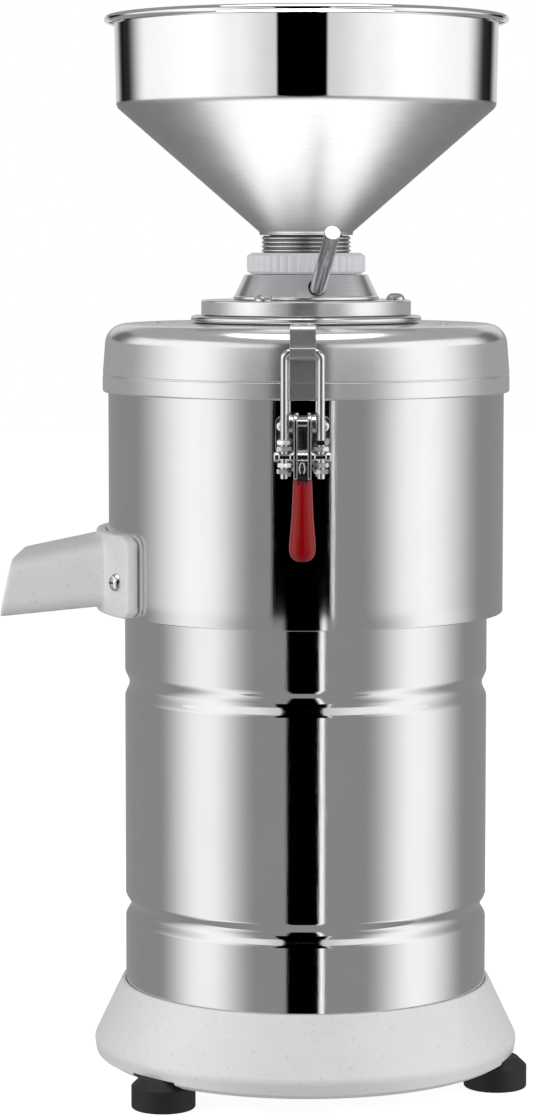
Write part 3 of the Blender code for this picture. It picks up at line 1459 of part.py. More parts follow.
def latch_bail(side, trunnion):
    """The U-bolt with four nuts on each leg, and the trunnion that its legs pass through."""
    rise = BAR_LEVEL - TRUNNION_LEVEL
    legs = round_corners(
        (
            (-BAIL_LEG_OFFSET, -BAIL_TAIL),
            (-BAIL_LEG_OFFSET, rise, BAIL_BEND),
            (BAIL_LEG_OFFSET, rise, BAIL_BEND),
            (BAIL_LEG_OFFSET, -BAIL_TAIL),
        ),
        BAIL_STEPS,
    )
    places = [(point[0], 0.0, point[1]) for point in legs]
    curve = wire_curve(f"{side} bail line", places, BAIL_RADIUS, BAIL_SIDES)
    bail = place_piece(f"{side}_u_bolt", mesh_of_curve(f"{side}_u_bolt", curve), STEEL, trunnion)
    nuts = bmesh.new()
    first = TRUNNION_RADIUS + GAP
    for sign in (-1, 1):
        across = sign * BAIL_LEG_OFFSET
        for near in (first, first + NUT_SPACING):
            add_rod(nuts, NUT_RADIUS, (across, 0, near), (across, 0, near + NUT_HEIGHT), HEXAGON)
            add_rod(nuts, NUT_RADIUS, (across, 0, -near - NUT_HEIGHT), (across, 0, -near), HEXAGON)
    join(bail, place_tool(f"{side} nuts", mesh_of(f"{side} nuts", nuts), trunnion))
    bar = bmesh.new()
    half = TRUNNION_LENGTH / 2
    add_rod(bar, TRUNNION_RADIUS, (-half, 0, 0), (half, 0, 0), SMALL_STEPS)
    rod = place_piece(f"{side}_trunnion", mesh_of(f"{side}_trunnion", bar), STEEL, trunnion)
    holes = bmesh.new()
    for sign in (-1, 1):
        across = sign * BAIL_LEG_OFFSET
        low = (across, 0, -TRUNNION_RADIUS - OVERCUT)
        high = (across, 0, TRUNNION_RADIUS + OVERCUT)
        add_rod(holes, BAIL_RADIUS + GAP, low, high, SMALL_STEPS)
    cut(rod, place_tool(f"{side} leg holes", mesh_of(f"{side} leg holes", holes), trunnion))


def keeper(side, pivot):
    """A strap folded over the lid's shoulder, with the hook that the U-bolt pulls down."""
    back = PIVOT_RADIUS - LID_RADIUS - GAP
    face = back - KEEPER_WALL
    tab = LID_RIM_TOP - PIVOT_LEVEL + tab_clearance()
    low = LID_LEVEL - PIVOT_LEVEL + GAP
    bar = BAR_LEVEL - PIVOT_LEVEL
    floor = bar - BAIL_RADIUS - GAP
    valley = face - 2 * (BAIL_RADIUS + HOOK_PLAY)
    outline = round_corners(
        (
            (back, low),
            (back, tab, EDGE_FILLET),
            (back + KEEPER_TAB, tab),
            (back + KEEPER_TAB, tab + KEEPER_WALL),
            (face, tab + KEEPER_WALL, KEEPER_BEND),
            (face, floor, EDGE_FILLET),
            (valley, floor, EDGE_FILLET),
            (valley, bar + HOOK_LIP),
            (valley - KEEPER_WALL, bar + HOOK_LIP),
            (valley - KEEPER_WALL, floor - KEEPER_WALL, KEEPER_BEND),
            (face, floor - KEEPER_WALL),
            (face, low),
        )
    )
    mesh = slab_mesh(f"{side}_keeper", [outline], KEEPER_WIDTH, SIDE_VIEW)
    place_piece(f"{side}_keeper", mesh, STAINLESS, pivot)


def tab_clearance():
    """How far the lid's crown stands above its rim at the inner end of the keeper's tab."""
    crown_run = LID_RADIUS - LID_TAPER - LID_CROWN_RADIUS
    inner_end = LID_RADIUS + GAP - KEEPER_TAB
    return LID_CROWN * (LID_RADIUS - LID_TAPER - inner_end) / crown_run + GAP


def latch(side, direction, turn):
    pivot = empty(f"{side}_latch_axis", (0.0, direction * PIVOT_RADIUS, PIVOT_LEVEL), turn, AXIS)
    trunnion = empty(f"{side}_trunnion_axis", (0.0, 0.0, -CRANK), parent=pivot)
    latch_base(side, pivot)
    latch_lever(side, pivot)
    latch_bail(side, trunnion)
    keeper(side, pivot)


def ring(name, radius, bore, level, height, steps, look):
    return turned(
        name,
        (
            (radius, level + height),
            (radius, level),
            (bore, level),
            (bore, level + height),
        ),
        steps,
        look,
        AXIS,
    )


def stator():
    """Core and end windings, held between the chamber floor's skirt and the lower end shield."""
    radius = STATOR_RADIUS - WINDING_MARGIN
    ring("stator_core", STATOR_RADIUS, STATOR_BORE, STATOR_LEVEL, STATOR_HEIGHT, RING_STEPS, IRON)
    for name, level in (
        ("upper_winding", STATOR_TOP + GAP),
        ("lower_winding", STATOR_LEVEL - GAP - WINDING_HEIGHT),
    ):
        turned(
            name,
            (
                (radius - WINDING_DRAFT, level + WINDING_HEIGHT),
                (radius, level + WINDING_HEIGHT / 2),
                (radius - WINDING_DRAFT, level),
                (radius - WINDING_WALL, level),
                (radius - WINDING_WALL, level + WINDING_HEIGHT),
            ),
            INNER_STEPS,
            COPPER,
            AXIS,
        )


def lower_end_shield():
    """A cast cup with a bearing hub, vents in its floor and a flange for the tie bolts."""
    bore = STATOR_RADIUS - SHIELD_WALL
    floor = SHIELD_LEVEL + SHIELD_FLOOR
    ear_low = SHIELD_LEVEL + SHIELD_EAR_LEVEL
    ear_high = ear_low + SHIELD_EAR_HEIGHT
    seat = LOWER_BEARING_LEVEL - GAP
    hub_top = LOWER_BEARING_LEVEL + BEARING_HEIGHT + HUB_LIP
    shield = turned(
        "lower_end_shield",
        (
            (STATOR_RADIUS, SHIELD_TOP),
            (STATOR_RADIUS, ear_high),
            (STATOR_RADIUS + SHIELD_EAR_WIDTH, ear_high),
            (STATOR_RADIUS + SHIELD_EAR_WIDTH, ear_low),
            (STATOR_RADIUS, ear_low),
            (STATOR_RADIUS, SHIELD_LEVEL, SHIELD_FILLET),
            (JOURNAL_RADIUS + SHAFT_HOLE_MARGIN, SHIELD_LEVEL),
            (JOURNAL_RADIUS + SHAFT_HOLE_MARGIN, seat),
            (BEARING_RADIUS + GAP, seat),
            (BEARING_RADIUS + GAP, hub_top),
            (BEARING_RADIUS + GAP + HUB_WALL, hub_top),
            (BEARING_RADIUS + GAP + HUB_WALL, floor),
            (bore, floor),
            (bore, SHIELD_TOP),
        ),
        INNER_STEPS,
        CAST_ALUMINIUM,
        AXIS,
    )
    openings = bmesh.new()
    vent_circle = (BEARING_RADIUS + GAP + HUB_WALL + bore) / 2
    for number in range(VENT_COUNT):
        azimuth = 360.0 * number / VENT_COUNT
        low = around(vent_circle, azimuth, SHIELD_LEVEL - OVERCUT)
        high = around(vent_circle, azimuth, floor + OVERCUT)
        add_rod(openings, SHIELD_VENT_RADIUS, low, high, VENT_STEPS)
    for azimuth in TIE_BOLT_AZIMUTHS.values():
        low = around(TIE_BOLT_CIRCLE, azimuth, ear_low - OVERCUT)
        high = around(TIE_BOLT_CIRCLE, azimuth, ear_high + OVERCUT)
        add_rod(openings, TIE_BOLT_RADIUS + GAP, low, high, SMALL_STEPS)
    cut(shield, place_tool("shield openings", mesh_of("shield openings", openings), AXIS))
    top = FLOOR_TOP - FLOOR_WEB_HEIGHT + TIE_BOLT_GRIP
    low = ear_low - GAP
    for side, azimuth in TIE_BOLT_AZIMUTHS.items():
        centre = empty(f"tie_bolt_axis_{side}", around(TIE_BOLT_CIRCLE, azimuth, 0.0), parent=AXIS)
        turned(
            f"tie_bolt_{side}",
            (
                (0.0, top),
                (TIE_BOLT_RADIUS, top),
                (TIE_BOLT_RADIUS, low),
                (TIE_BOLT_HEAD_RADIUS, low),
                (TIE_BOLT_HEAD_RADIUS, low - TIE_BOLT_HEAD_HEIGHT),
                (0.0, low - TIE_BOLT_HEAD_HEIGHT),
            ),
            SMALL_STEPS,
            STEEL,
            centre,
        )


def shaft_and_rotor():
    step = LOWER_BEARING_LEVEL + BEARING_HEIGHT + SHAFT_SHOULDER_GAP
    low = SHIELD_LEVEL - FAN_DROP - FAN_HEIGHT - SHAFT_TAIL
    turned(
        "motor_shaft",
        (
            (0.0, STUD_TOP),
            (STUD_RADIUS, STUD_TOP),
            (STUD_RADIUS, CARRIER_TOP),
            (SHAFT_RADIUS, CARRIER_TOP),
            (SHAFT_RADIUS, step),
            (JOURNAL_RADIUS, step),
            (JOURNAL_RADIUS, low),
            (0.0, low),
        ),
        INNER_STEPS,
        STEEL,
        AXIS,
    )
    bore = SHAFT_RADIUS + GAP
    journal_bore = JOURNAL_RADIUS + GAP
    seal_level = FLOOR_TOP - SHAFT_SEAL_HEIGHT
    ring("rotor_core", STATOR_BORE - RUNNING_GAP, bore, STATOR_LEVEL, STATOR_HEIGHT, RING_STEPS, IRON)
    for name, radius, inside, level, height, look in (
        ("lower_bearing", BEARING_RADIUS, journal_bore, LOWER_BEARING_LEVEL, BEARING_HEIGHT, STEEL),
        ("upper_bearing", UPPER_BEARING_RADIUS, bore, UPPER_BEARING_LEVEL, UPPER_BEARING_HEIGHT, STEEL),
        ("shaft_seal", SHAFT_SEAL_RADIUS, bore, seal_level, SHAFT_SEAL_HEIGHT, RUBBER),
    ):
        ring(name, radius, inside, level, height, INNER_STEPS, look)


def cooling_fan():
    top = SHIELD_LEVEL - FAN_DROP
    low = top - FAN_HEIGHT
    bore = JOURNAL_RADIUS + GAP
    fan = turned(
        "cooling_fan",
        (
            (bore, top),
            (FAN_RADIUS, top),
            (FAN_RADIUS, top - FAN_DISC),
            (FAN_HUB_RADIUS, top - FAN_DISC),
            (FAN_HUB_RADIUS, low),
            (bore, low),
        ),
        INNER_STEPS,
        BLACK_PLASTIC,
        AXIS,
    )
    blades = bmesh.new()
    half = FAN_BLADE_WALL / 2
    for number in range(FAN_BLADES):
        turn = at_azimuth(360.0 * number / FAN_BLADES)
        start = (FAN_HUB_RADIUS - FAN_BLADE_MARGIN, -half, low + FAN_BLADE_MARGIN)
        end = (FAN_RADIUS - FAN_BLADE_MARGIN, half, top - FAN_DISC / 2)
        add_box(blades, start, end, turn)
    join(fan, place_tool("fan blades", mesh_of("fan blades", blades), AXIS))


def stone_carrier():
    """Hub and disc under the lower stone, with paddles that sweep the butter to the spout."""
    disc_top = LOWER_STONE_LEVEL - GAP
    disc_low = disc_top - CARRIER_DISC_HEIGHT
    bore = SHAFT_RADIUS + GAP
    carrier = turned(
        "stone_carrier",
        (
            (bore, CARRIER_TOP),
            (CARRIER_SPIGOT_RADIUS, CARRIER_TOP),
            (CARRIER_SPIGOT_RADIUS, disc_top),
            (CARRIER_DISC_RADIUS, disc_top),
            (CARRIER_DISC_RADIUS, disc_low),
            (CARRIER_HUB_RADIUS, disc_low),
            (CARRIER_HUB_RADIUS, CARRIER_LEVEL),
            (bore, CARRIER_LEVEL),
        ),
        RING_STEPS,
        CAST_ALUMINIUM,
        AXIS,
    )
    paddles = bmesh.new()
    reach = DRUM_RADIUS - DRUM_WALL - PADDLE_MARGIN
    half = PADDLE_WALL / 2
    for number in range(PADDLE_COUNT):
        turn = at_azimuth(PADDLE_AZIMUTH + 360.0 * number / PADDLE_COUNT)
        low = (CARRIER_HUB_RADIUS - PADDLE_ROOT, -half, CARRIER_LEVEL + PADDLE_LIFT)
        high = (reach, half, CARRIER_LEVEL + PADDLE_HEIGHT)
        add_box(paddles, low, high, turn)
    join(carrier, place_tool("paddles", mesh_of("paddles", paddles), AXIS))
    turned(
        "lower_stone",
        (
            (CARRIER_SPIGOT_RADIUS + GAP, LOWER_STONE_LEVEL + STONE_HEIGHT),
            (STONE_RADIUS, LOWER_STONE_LEVEL + STONE_HEIGHT),
            (STONE_RADIUS, LOWER_STONE_LEVEL, STONE_EDGE),
            (CARRIER_SPIGOT_RADIUS + GAP, LOWER_STONE_LEVEL),
        ),
        RING_STEPS,
        STONE,
        AXIS,
    )


def feed_screw():
    """The winged nut on the shaft's stud, which clamps the lower stone and feeds the nuts in."""
    low = LOWER_STONE_LEVEL + STONE_HEIGHT + GAP
    flange = low + FEED_FLANGE_HEIGHT
    top = low + FEED_HUB_HEIGHT
    nut = turned(
        "feed_screw",
        (
            (0.0, top),
            (FEED_CROWN_RADIUS, top, FEED_CROWN_FILLET),
            (FEED_HUB_RADIUS, flange),
            (FEED_FLANGE_RADIUS, flange),
            (FEED_FLANGE_RADIUS, low),
            (0.0, low),
        ),
        INNER_STEPS,
        POLISHED_STEEL,
        AXIS,
    )
    wings = bmesh.new()
    half = FEED_WING_WALL / 2
    slant = Matrix.Translation((0.0, 0.0, flange)) @ Matrix.Rotation(math.radians(FEED_WING_SLANT), 4, "X")
    for azimuth in FEED_WING_AZIMUTHS:
        start = (FEED_CROWN_RADIUS, -half, -FEED_WING_SINK)
        end = (FEED_WING_RADIUS, half, FEED_WING_HEIGHT)
        add_box(wings, start, end, at_azimuth(azimuth) @ slant)
    join(nut, place_tool("feed wings", mesh_of("feed wings", wings), AXIS))
    stud = rod_tool(
        "feed screw thread",
        STUD_RADIUS + GAP,
        (0, 0, low - OVERCUT),
        (0, 0, STUD_TOP + GAP),
        INNER_STEPS,
        AXIS,
    )
    cut(nut, stud)


# Colour, roughness and metallic value of each finish
STAINLESS = ((0.62, 0.62, 0.62), 0.28, 1.0)
POLISHED_STEEL = ((0.72, 0.72, 0.72), 0.15, 1.0)
STEEL = ((0.66, 0.66, 0.65), 0.25, 1.0)
ZINC = ((0.55, 0.56, 0.57), 0.45, 1.0)
SATIN_ALUMINIUM = ((0.70, 0.70, 0.70), 0.35, 1.0)
MACHINED_ALUMINIUM = ((0.75, 0.75, 0.74), 0.30, 1.0)
CAST_ALUMINIUM = ((0.72, 0.72, 0.72), 0.60, 0.9)
IRON = ((0.25, 0.25, 0.26), 0.55, 1.0)
COPPER = ((0.72, 0.35, 0.18), 0.35, 1.0)
RUBBER = ((0.02, 0.02, 0.02), 0.75, 0.0)
BLACK_PLASTIC = ((0.03, 0.03, 0.03), 0.45, 0.0)
NYLON = ((0.80, 0.80, 0.76), 0.40, 0.0)
RED_VINYL = ((0.60, 0.02, 0.02), 0.35, 0.0)
STONE = ((0.55, 0.52, 0.48), 0.85, 0.0)

clear_scene()
PARTS = new_collection("peanut butter machine")
CUTTERS = new_collection("cutters")
AXIS = empty("machine_axis", (AXIS_X, 0.0, 0.0))

for foot_side, foot_azimuth in FOOT_AZIMUTHS.items():
    foot_and_bolt(foot_side, foot_azimuth)
base_casting()
bottom_plate()
motor_housing()
switch()
cable_gland()
chamber_floor()
grinding_housing()
spout()
lid()
adjuster_flange()
threaded_neck()
adjusting_collar()
lock_ring()
hopper()
latch("front", -1.0, 0.0)
latch("rear", 1.0, math.pi)
stator()
lower_end_shield()
shaft_and_rotor()
cooling_fan()
stone_carrier()
feed_screw()
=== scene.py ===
"""Peanut butter machine: stainless drums, spun hopper, cast base and spout, toggle latches."""

import math

import bmesh
import bpy
from mathutils import Matrix, Vector


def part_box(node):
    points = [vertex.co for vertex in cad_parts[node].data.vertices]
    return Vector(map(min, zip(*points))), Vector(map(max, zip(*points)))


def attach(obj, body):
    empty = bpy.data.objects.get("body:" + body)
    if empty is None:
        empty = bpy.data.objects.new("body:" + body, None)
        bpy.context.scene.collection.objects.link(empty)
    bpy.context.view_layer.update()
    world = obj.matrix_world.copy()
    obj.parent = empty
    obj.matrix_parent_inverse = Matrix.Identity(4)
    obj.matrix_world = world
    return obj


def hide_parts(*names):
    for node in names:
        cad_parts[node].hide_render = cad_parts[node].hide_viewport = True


bl_info = {
    "name": "Peanut Butter Machine",
    "version": (1, 0, 0),
    "blender": (4, 5, 0),
    "location": "3D View > Sidebar > Machine",
    "description": "Builds the dressed pieces of a peanut butter machine on its packed frame",
    "category": "Object",
}

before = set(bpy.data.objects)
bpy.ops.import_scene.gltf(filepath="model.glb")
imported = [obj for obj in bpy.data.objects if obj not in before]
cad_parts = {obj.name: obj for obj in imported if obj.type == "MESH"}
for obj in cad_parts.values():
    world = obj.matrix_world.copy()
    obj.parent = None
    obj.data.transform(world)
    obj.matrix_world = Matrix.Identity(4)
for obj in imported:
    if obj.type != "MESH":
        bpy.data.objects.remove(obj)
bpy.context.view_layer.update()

HOUSING_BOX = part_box("motor_housing")
AXIS_X = (HOUSING_BOX[0].x + HOUSING_BOX[1].x) / 2
GAP = 0.0003
MERGE = 0.000001
POINT = 0.0002
STEPS = 128
BASE_STEPS = 160
FINE_STEPS = 192
SEAT_STEPS = 256
FOOT_STEPS = 64
NECK_STEPS = 96
SMALL_STEPS = 32
RIVET_STEPS = 24
ARC_STEPS = 6

FOOT_RADIUS = 0.01625
FOOT_HEIGHT = 0.0160
FOOT_CIRCLE = 0.1015
FOOT_AZIMUTHS = {"front_left": 226.0, "front_right": 346.0, "rear": 106.0}
BASE_LEVEL = 0.0125
BASE_TOP = 0.0525
BASE_RADIUS = 0.1103
BASE_SEAT = 0.0460
BASE_FLOOR = 0.0090
HOUSING_RADIUS = 0.0937
HOUSING_LOW = 0.0463
HOUSING_TOP = 0.2457
HOUSING_WALL = 0.0012
# Level, depth and height of each rolled groove
GROOVES = ((0.0920, 0.0027, 0.0128), (0.2080, 0.0023, 0.0138))
GROOVE_STEPS = 24
DRUM_RADIUS = 0.1018
DRUM_LOW = 0.2450
DRUM_TOP = 0.3680
DRUM_WALL = 0.0015
WINDOW_LOW = 0.2536
WINDOW_HIGH = 0.2800
WINDOW_HALF = 0.0360
LID_RADIUS = 0.10465
LID_LOW = 0.3582
LID_SEAM = 0.3670
LID_RIM_TOP = 0.3930
LID_TOP = 0.3934
LID_CROWN_RADIUS = 0.0620
# Radius and azimuth of each flush screw
LID_SCREWS = ((0.0780, 176.0), (0.0760, -24.0), (0.0790, 62.0))
BEAD_LOW = 0.3937
BEAD_TOP = 0.3973
BEAD_RADIUS = 0.0592
FLANGE_LOW = 0.3976
FLANGE_TOP = 0.4052
FLANGE_RADIUS = 0.0539
SLEEVE_BORE = 0.0234
SLEEVE_RADIUS = 0.0270
SLEEVE_LOW = 0.3810
FLANGE_SCREW_CIRCLE = 0.0460
FLANGE_SCREW_AZIMUTHS = (3.0, 123.0, 243.0)
COLLAR_LOW = 0.4055
COLLAR_TOP = 0.4182
COLLAR_RADIUS = 0.0367
COLLAR_TOP_RADIUS = 0.0316
LEVER_RADIUS = 0.0040
LEVER_AZIMUTH = -80.0
LEVER_RISE = 32.0
LEVER_LENGTH = 0.0500
RING_LOW = 0.4185
RING_TOP = 0.4292
RING_RADIUS = 0.0304
NECK_LOW = 0.3436
NECK_TOP = 0.4380
NECK_RADIUS = 0.0231
NECK_BORE = 0.0185
NECK_PLATE_RADIUS = 0.0440
NECK_PLATE_TOP = 0.3493
HOPPER_LOW = 0.4383
HOPPER_CORNER_LEVEL = 0.5035
HOPPER_TOP = 0.54985
HOPPER_CONE_RADIUS = 0.0972
HOPPER_MOUTH_RADIUS = 0.0981
HOPPER_LIP_RADIUS = 0.0240
HOPPER_WALL = 0.0010
HOPPER_SPIGOT = 0.0080
CURL_RADIUS = 0.0021
CURL_FLATNESS = 0.55
CURL_START = -70.0
CURL_TURN = 250.0
CURL_STEPS = 20
RIM_CLEARANCE = 0.0001
PIVOT = Vector((AXIS_X, -0.1100, 0.3478))
TRUNNION_DROP = 0.0166
BAR_RISE = 0.0508
ARM_HALF_WIDTH = 0.00425
ARM_FOOT = 0.0275
NUT_HEIGHT = 0.0024
BOLT_HALF = 0.00895
BOLT_TAIL = 0.0106
SPOUT_LOW = 0.2460
SPOUT_HIGH = 0.2880
SPOUT_HALF = 0.0620
SPOUT_BACK = 0.1034
SPOUT_WALL = 0.0050
SPOUT_CORNER = 0.006
CHUTE_LEAN = 0.0065
SPOUT_SCREW_AZIMUTHS = {"front": 209.0, "rear": 151.0}
SPOUT_SCREW_LEVEL = 0.2640
SCREW_HEAD_RADIUS = 0.0048
SCREW_HEAD_HEIGHT = 0.0032
SCREW_RADIUS = 0.0020
SCREW_SHANK = 0.0060
GLAND_LEVEL = 0.0693
WALL_STEP = 0.14


# Settings


def length(name, description, default):
    return bpy.props.FloatProperty(name=name, description=description, default=default, unit="LENGTH")


def brightness(name, description, default):
    return bpy.props.FloatProperty(name=name, description=description, default=default, min=0.0)


def colour(name, description, default):
    return bpy.props.FloatVectorProperty(
        name=name, description=description, default=default, subtype="COLOR", size=3, min=0.0, max=1.0
    )


class MachineSizes(bpy.types.PropertyGroup):
    """Sizes of the fine forms that the frame leaves to the dressed pieces."""

    thread_pitch: length("Thread pitch", "Rise of the neck's thread", 0.0021)
    thread_depth: length("Thread depth", "Depth of the neck's thread", 0.0011)
    ring_teeth: bpy.props.IntProperty(
        name="Ring teeth", description="Number of teeth round the lock ring", default=42
    )
    tooth_depth: length("Tooth depth", "Depth of the lock ring's grooves", 0.0007)
    seam_depth: length("Lid seam", "Depth of the line round the lid", 0.0004)
    recess_depth: length("Screw recess", "Depth of the cross in a screw head", 0.0014)
    rivet_radius: length("Rivet", "Radius of a latch rivet's head", 0.0027)
    casting_voxel: length("Casting voxel", "Grid that softens the spout", 0.0009)


class MachineColours(bpy.types.PropertyGroup):
    """Base colours of the finishes."""

    stainless: colour("Stainless", "Polished stainless sheet", (0.70, 0.70, 0.71))
    hopper: colour("Hopper", "Spun hopper steel", (0.80, 0.80, 0.81))
    satin: colour("Satin aluminium", "Spun lid", (0.78, 0.79, 0.79))
    machined: colour("Machined aluminium", "Turned neck, collar and flange", (0.84, 0.85, 0.86))
    cast: colour("Cast aluminium", "Sand-cast base and spout", (0.86, 0.87, 0.88))
    plated: colour("Plated steel", "Screws, U-bolts and lever", (0.78, 0.78, 0.79))
    nylon: colour("Nylon", "Lock ring", (0.88, 0.88, 0.91))
    vinyl: colour("Red vinyl", "Latch grips", (0.32, 0.001, 0.002))
    silicone: colour("Silicone", "Gasket behind the spout", (0.66, 0.66, 0.64))
    rubber: colour("Rubber", "Feet and seals", (0.020, 0.020, 0.021))
    plastic: colour("Black plastic", "Switch, gland and fan", (0.022, 0.022, 0.024))


class StudioSettings(bpy.types.PropertyGroup):
    """Camera and light."""

    camera_side: length("Camera side", "Camera's place along X", 0.0463)
    camera_distance: length("Camera distance", "Camera's distance in front", 1.80)
    camera_height: length("Camera height", "Camera's height over the floor", 0.440)
    aim_height: length("Aim height", "Height that the camera looks at", 0.2712)
    lens: bpy.props.FloatProperty(
        name="Lens", description="Focal length on a 36 mm long side", default=112.4, unit="CAMERA"
    )
    wall_radius: length("Light wall", "Radius of the round light wall", 1.1)
    hopper_wall_radius: length("Hopper light wall", "Radius of the wall at the hopper", 0.5)
    wall_strength: brightness("Wall strength", "Brightness of the light wall", 1.35)
    room_grey: brightness("Room grey", "Brightness of the room that metal reflects", 0.33)


# Modelling by hand


def deselect():
    if bpy.context.mode != "OBJECT":
        bpy.ops.object.mode_set(mode="OBJECT")
    bpy.ops.object.select_all(action="DESELECT")


def settle():
    """Applies the selected pieces' place, turn and scale to their meshes."""
    bpy.ops.object.transform_apply(location=True, rotation=True, scale=True)


def pick(*pieces):
    """Selects the pieces; the first is the active one."""
    deselect()
    for piece in pieces:
        piece.select_set(True)
    bpy.context.view_layer.objects.active = pieces[0]


def round_corners(*corners, steps=ARC_STEPS):
    """Points of an outline; a corner given a third value is rounded to that radius."""
    points = []
    count = len(corners)
    for index, corner in enumerate(corners):
        here = Vector(corner[:2])
        radius = corner[2] if len(corner) > 2 else 0.0
        before = Vector(corners[index - 1][:2]) - here
        after = Vector(corners[(index + 1) % count][:2]) - here
        if radius <= 0.0 or before.length < MERGE or after.length < MERGE:
            points.append(here)
            continue
        before.normalize()
        after.normalize()
        half = before.angle(after) / 2
        if half > math.radians(89.0):
            points.append(here)
            continue
        reach = radius / math.tan(half)
        centre = here + (before + after).normalized() * (radius / math.sin(half))
        start = here + before * reach - centre
        turn = math.pi - 2 * half
        if before.cross(after) > 0.0:
            turn = -turn
        for step in range(steps + 1):
            arm = start.copy()
            arm.rotate(Matrix.Rotation(turn * step / steps, 2))
            points.append(centre + arm)
    return points


def offset_line(points, width):
    """A line beside an open line; a positive width lies on its left."""
    shifted = []
    for index, point in enumerate(points):
        before = points[max(index - 1, 0)]
        after = points[min(index + 1, len(points) - 1)]
        into = (point - before).normalized() if index > 0 else (after - point).normalized()
        out = (after - point).normalized() if index < len(points) - 1 else into
        normal = Vector((-into.y - out.y, into.x + out.x)).normalized()
        share = max(normal.dot(Vector((-into.y, into.x))), 0.5)
        shifted.append(point + normal * (width / share))
    return shifted


def sheet_outline(points, wall):
    """A closed outline of a sheet whose one face follows the points."""
    points = [Vector(point) for point in points]
    return points + offset_line(points, wall)[::-1]


def draw(points, closed):
    """Pulls one vertex along the points; all of the line is left selected in edit mode."""
    places = [Vector(point) for point in points]
    if closed:
        places.append(places[0])
    deselect()
    bpy.ops.mesh.primitive_plane_add(size=POINT, location=places[0])
    bpy.ops.object.mode_set(mode="EDIT")
    bpy.ops.mesh.select_mode(type="VERT")
    bpy.ops.mesh.select_all(action="SELECT")
    bpy.ops.mesh.merge(type="CENTER")
    for before, after in zip(places, places[1:]):
        bpy.ops.mesh.extrude_region_move(TRANSFORM_OT_translate={"value": after - before})
    bpy.ops.mesh.select_all(action="SELECT")
    bpy.ops.mesh.remove_doubles(threshold=MERGE)


def close_up():
    """Ends edit mode on a shape with merged doubles and normals outwards."""
    bpy.ops.mesh.select_all(action="SELECT")
    bpy.ops.mesh.remove_doubles(threshold=MERGE)
    bpy.ops.mesh.normals_make_consistent(inside=False)
    bpy.ops.object.mode_set(mode="OBJECT")
    settle()
    return bpy.context.object


def turned(outline, steps=STEPS, centre=(AXIS_X, 0.0), closed=True):
    """Spins an outline of (radius, level) points about an upright axis."""
    draw([(centre[0] + point[0], centre[1], point[1]) for point in outline], closed)
    bpy.ops.mesh.spin(
        steps=steps,
        angle=math.tau,
        center=(centre[0], centre[1], 0.0),
        axis=(0.0, 0.0, 1.0),
        use_auto_merge=True,
    )
    return close_up()


def turned_small(*corners, steps=SMALL_STEPS, arc=ARC_STEPS):
    """A small solid turned about the upright axis through the origin."""
    return turned(round_corners(*corners, steps=arc), steps, (0.0, 0.0), False)


def slab(outline, low, high, view):
    """Fills an outline and pulls it from low to high along X (side), Y (front) or Z (top)."""
    axis = {"side": 0, "front": 1, "top": 2}[view]
    points = []
    for point in outline:
        place = [point[0], point[1]]
        place.insert(axis, low)
        points.append(place)
    draw(points, True)
    bpy.ops.mesh.edge_face_add()
    pull = [0.0, 0.0, 0.0]
    pull[axis] = high - low
    bpy.ops.mesh.extrude_region_move(TRANSFORM_OT_translate={"value": pull})
    return close_up()


def block(low, high):
    low = Vector(low)
    high = Vector(high)
    deselect()
    bpy.ops.mesh.primitive_cube_add(size=1.0, location=(low + high) / 2, scale=high - low)
    settle()
    return bpy.context.object


def wire(points, radius, roundness=4, closed=False):
    """A round wire along the points."""
    draw(points, closed)
    bpy.ops.object.mode_set(mode="OBJECT")
    bpy.ops.object.convert(target="CURVE")
    line = bpy.context.object.data
    line.dimensions = "3D"
    line.bevel_depth = radius
    line.bevel_resolution = roundness
    line.use_fill_caps = not closed
    bpy.ops.object.convert(target="MESH")
    bpy.ops.object.mode_set(mode="EDIT")
    return close_up()


def rod(radius, start, end, steps=SMALL_STEPS, edge=0.0):
    """A straight rod between two places, its end edges rounded."""
    start = Vector(start)
    along = Vector(end) - start
    deselect()
    bpy.ops.mesh.primitive_cylinder_add(
        vertices=steps,
        radius=radius,
        depth=along.length,
        location=start + along / 2,
        rotation=along.to_track_quat("Z", "Y").to_euler(),
    )
    settle()
    piece = bpy.context.object
    if edge > 0.0:
        soften(piece, edge, 3)
    return piece


def stand(piece, place, direction):
    """Turns a piece that was made upright at the origin, and moves it to its place."""
    turn = Vector(direction).to_track_quat("Z", "Y").to_matrix().to_4x4()
    piece.matrix_world = Matrix.Translation(place) @ turn
    pick(piece)
    settle()
    return piece


def join(*pieces):
    pick(*pieces)
    bpy.ops.object.join()
    return pieces[0]


def copy_of(piece):
    pick(piece)
    bpy.ops.object.duplicate(linked=False)
    return bpy.context.object


def behind(piece):
    """A copy on the other side of the machine, turned half round about its axis."""
    twin = copy_of(piece)
    twin.matrix_world = Matrix.Translation((2 * AXIS_X, 0.0, 0.0)) @ Matrix.Rotation(math.pi, 4, "Z")
    settle()
    return twin


def apply(piece, kind, **settings):
    """Adds a modifier, sets it and applies it."""
    pick(piece)
    bpy.ops.object.modifier_add(type=kind)
    modifier = piece.modifiers[-1]
    for key, value in settings.items():
        setattr(modifier, key, value)
    bpy.ops.object.modifier_apply(modifier=modifier.name)


def soften(piece, width, segments=2, angle=60.0):
    apply(
        piece,
        "BEVEL",
        width=width,
        segments=segments,
        limit_method="ANGLE",
        angle_limit=math.radians(angle),
        use_clamp_overlap=True,
    )


def combine(piece, tool, operation="DIFFERENCE"):
    apply(piece, "BOOLEAN", operation=operation, solver="EXACT", object=tool)
    bpy.data.objects.remove(tool)
    return piece


def around(radius, azimuth, level):
    """A place by radius, azimuth in degrees from +X, and level."""
    angle = math.radians(azimuth)
    return Vector((AXIS_X + radius * math.cos(angle), radius * math.sin(angle), level))


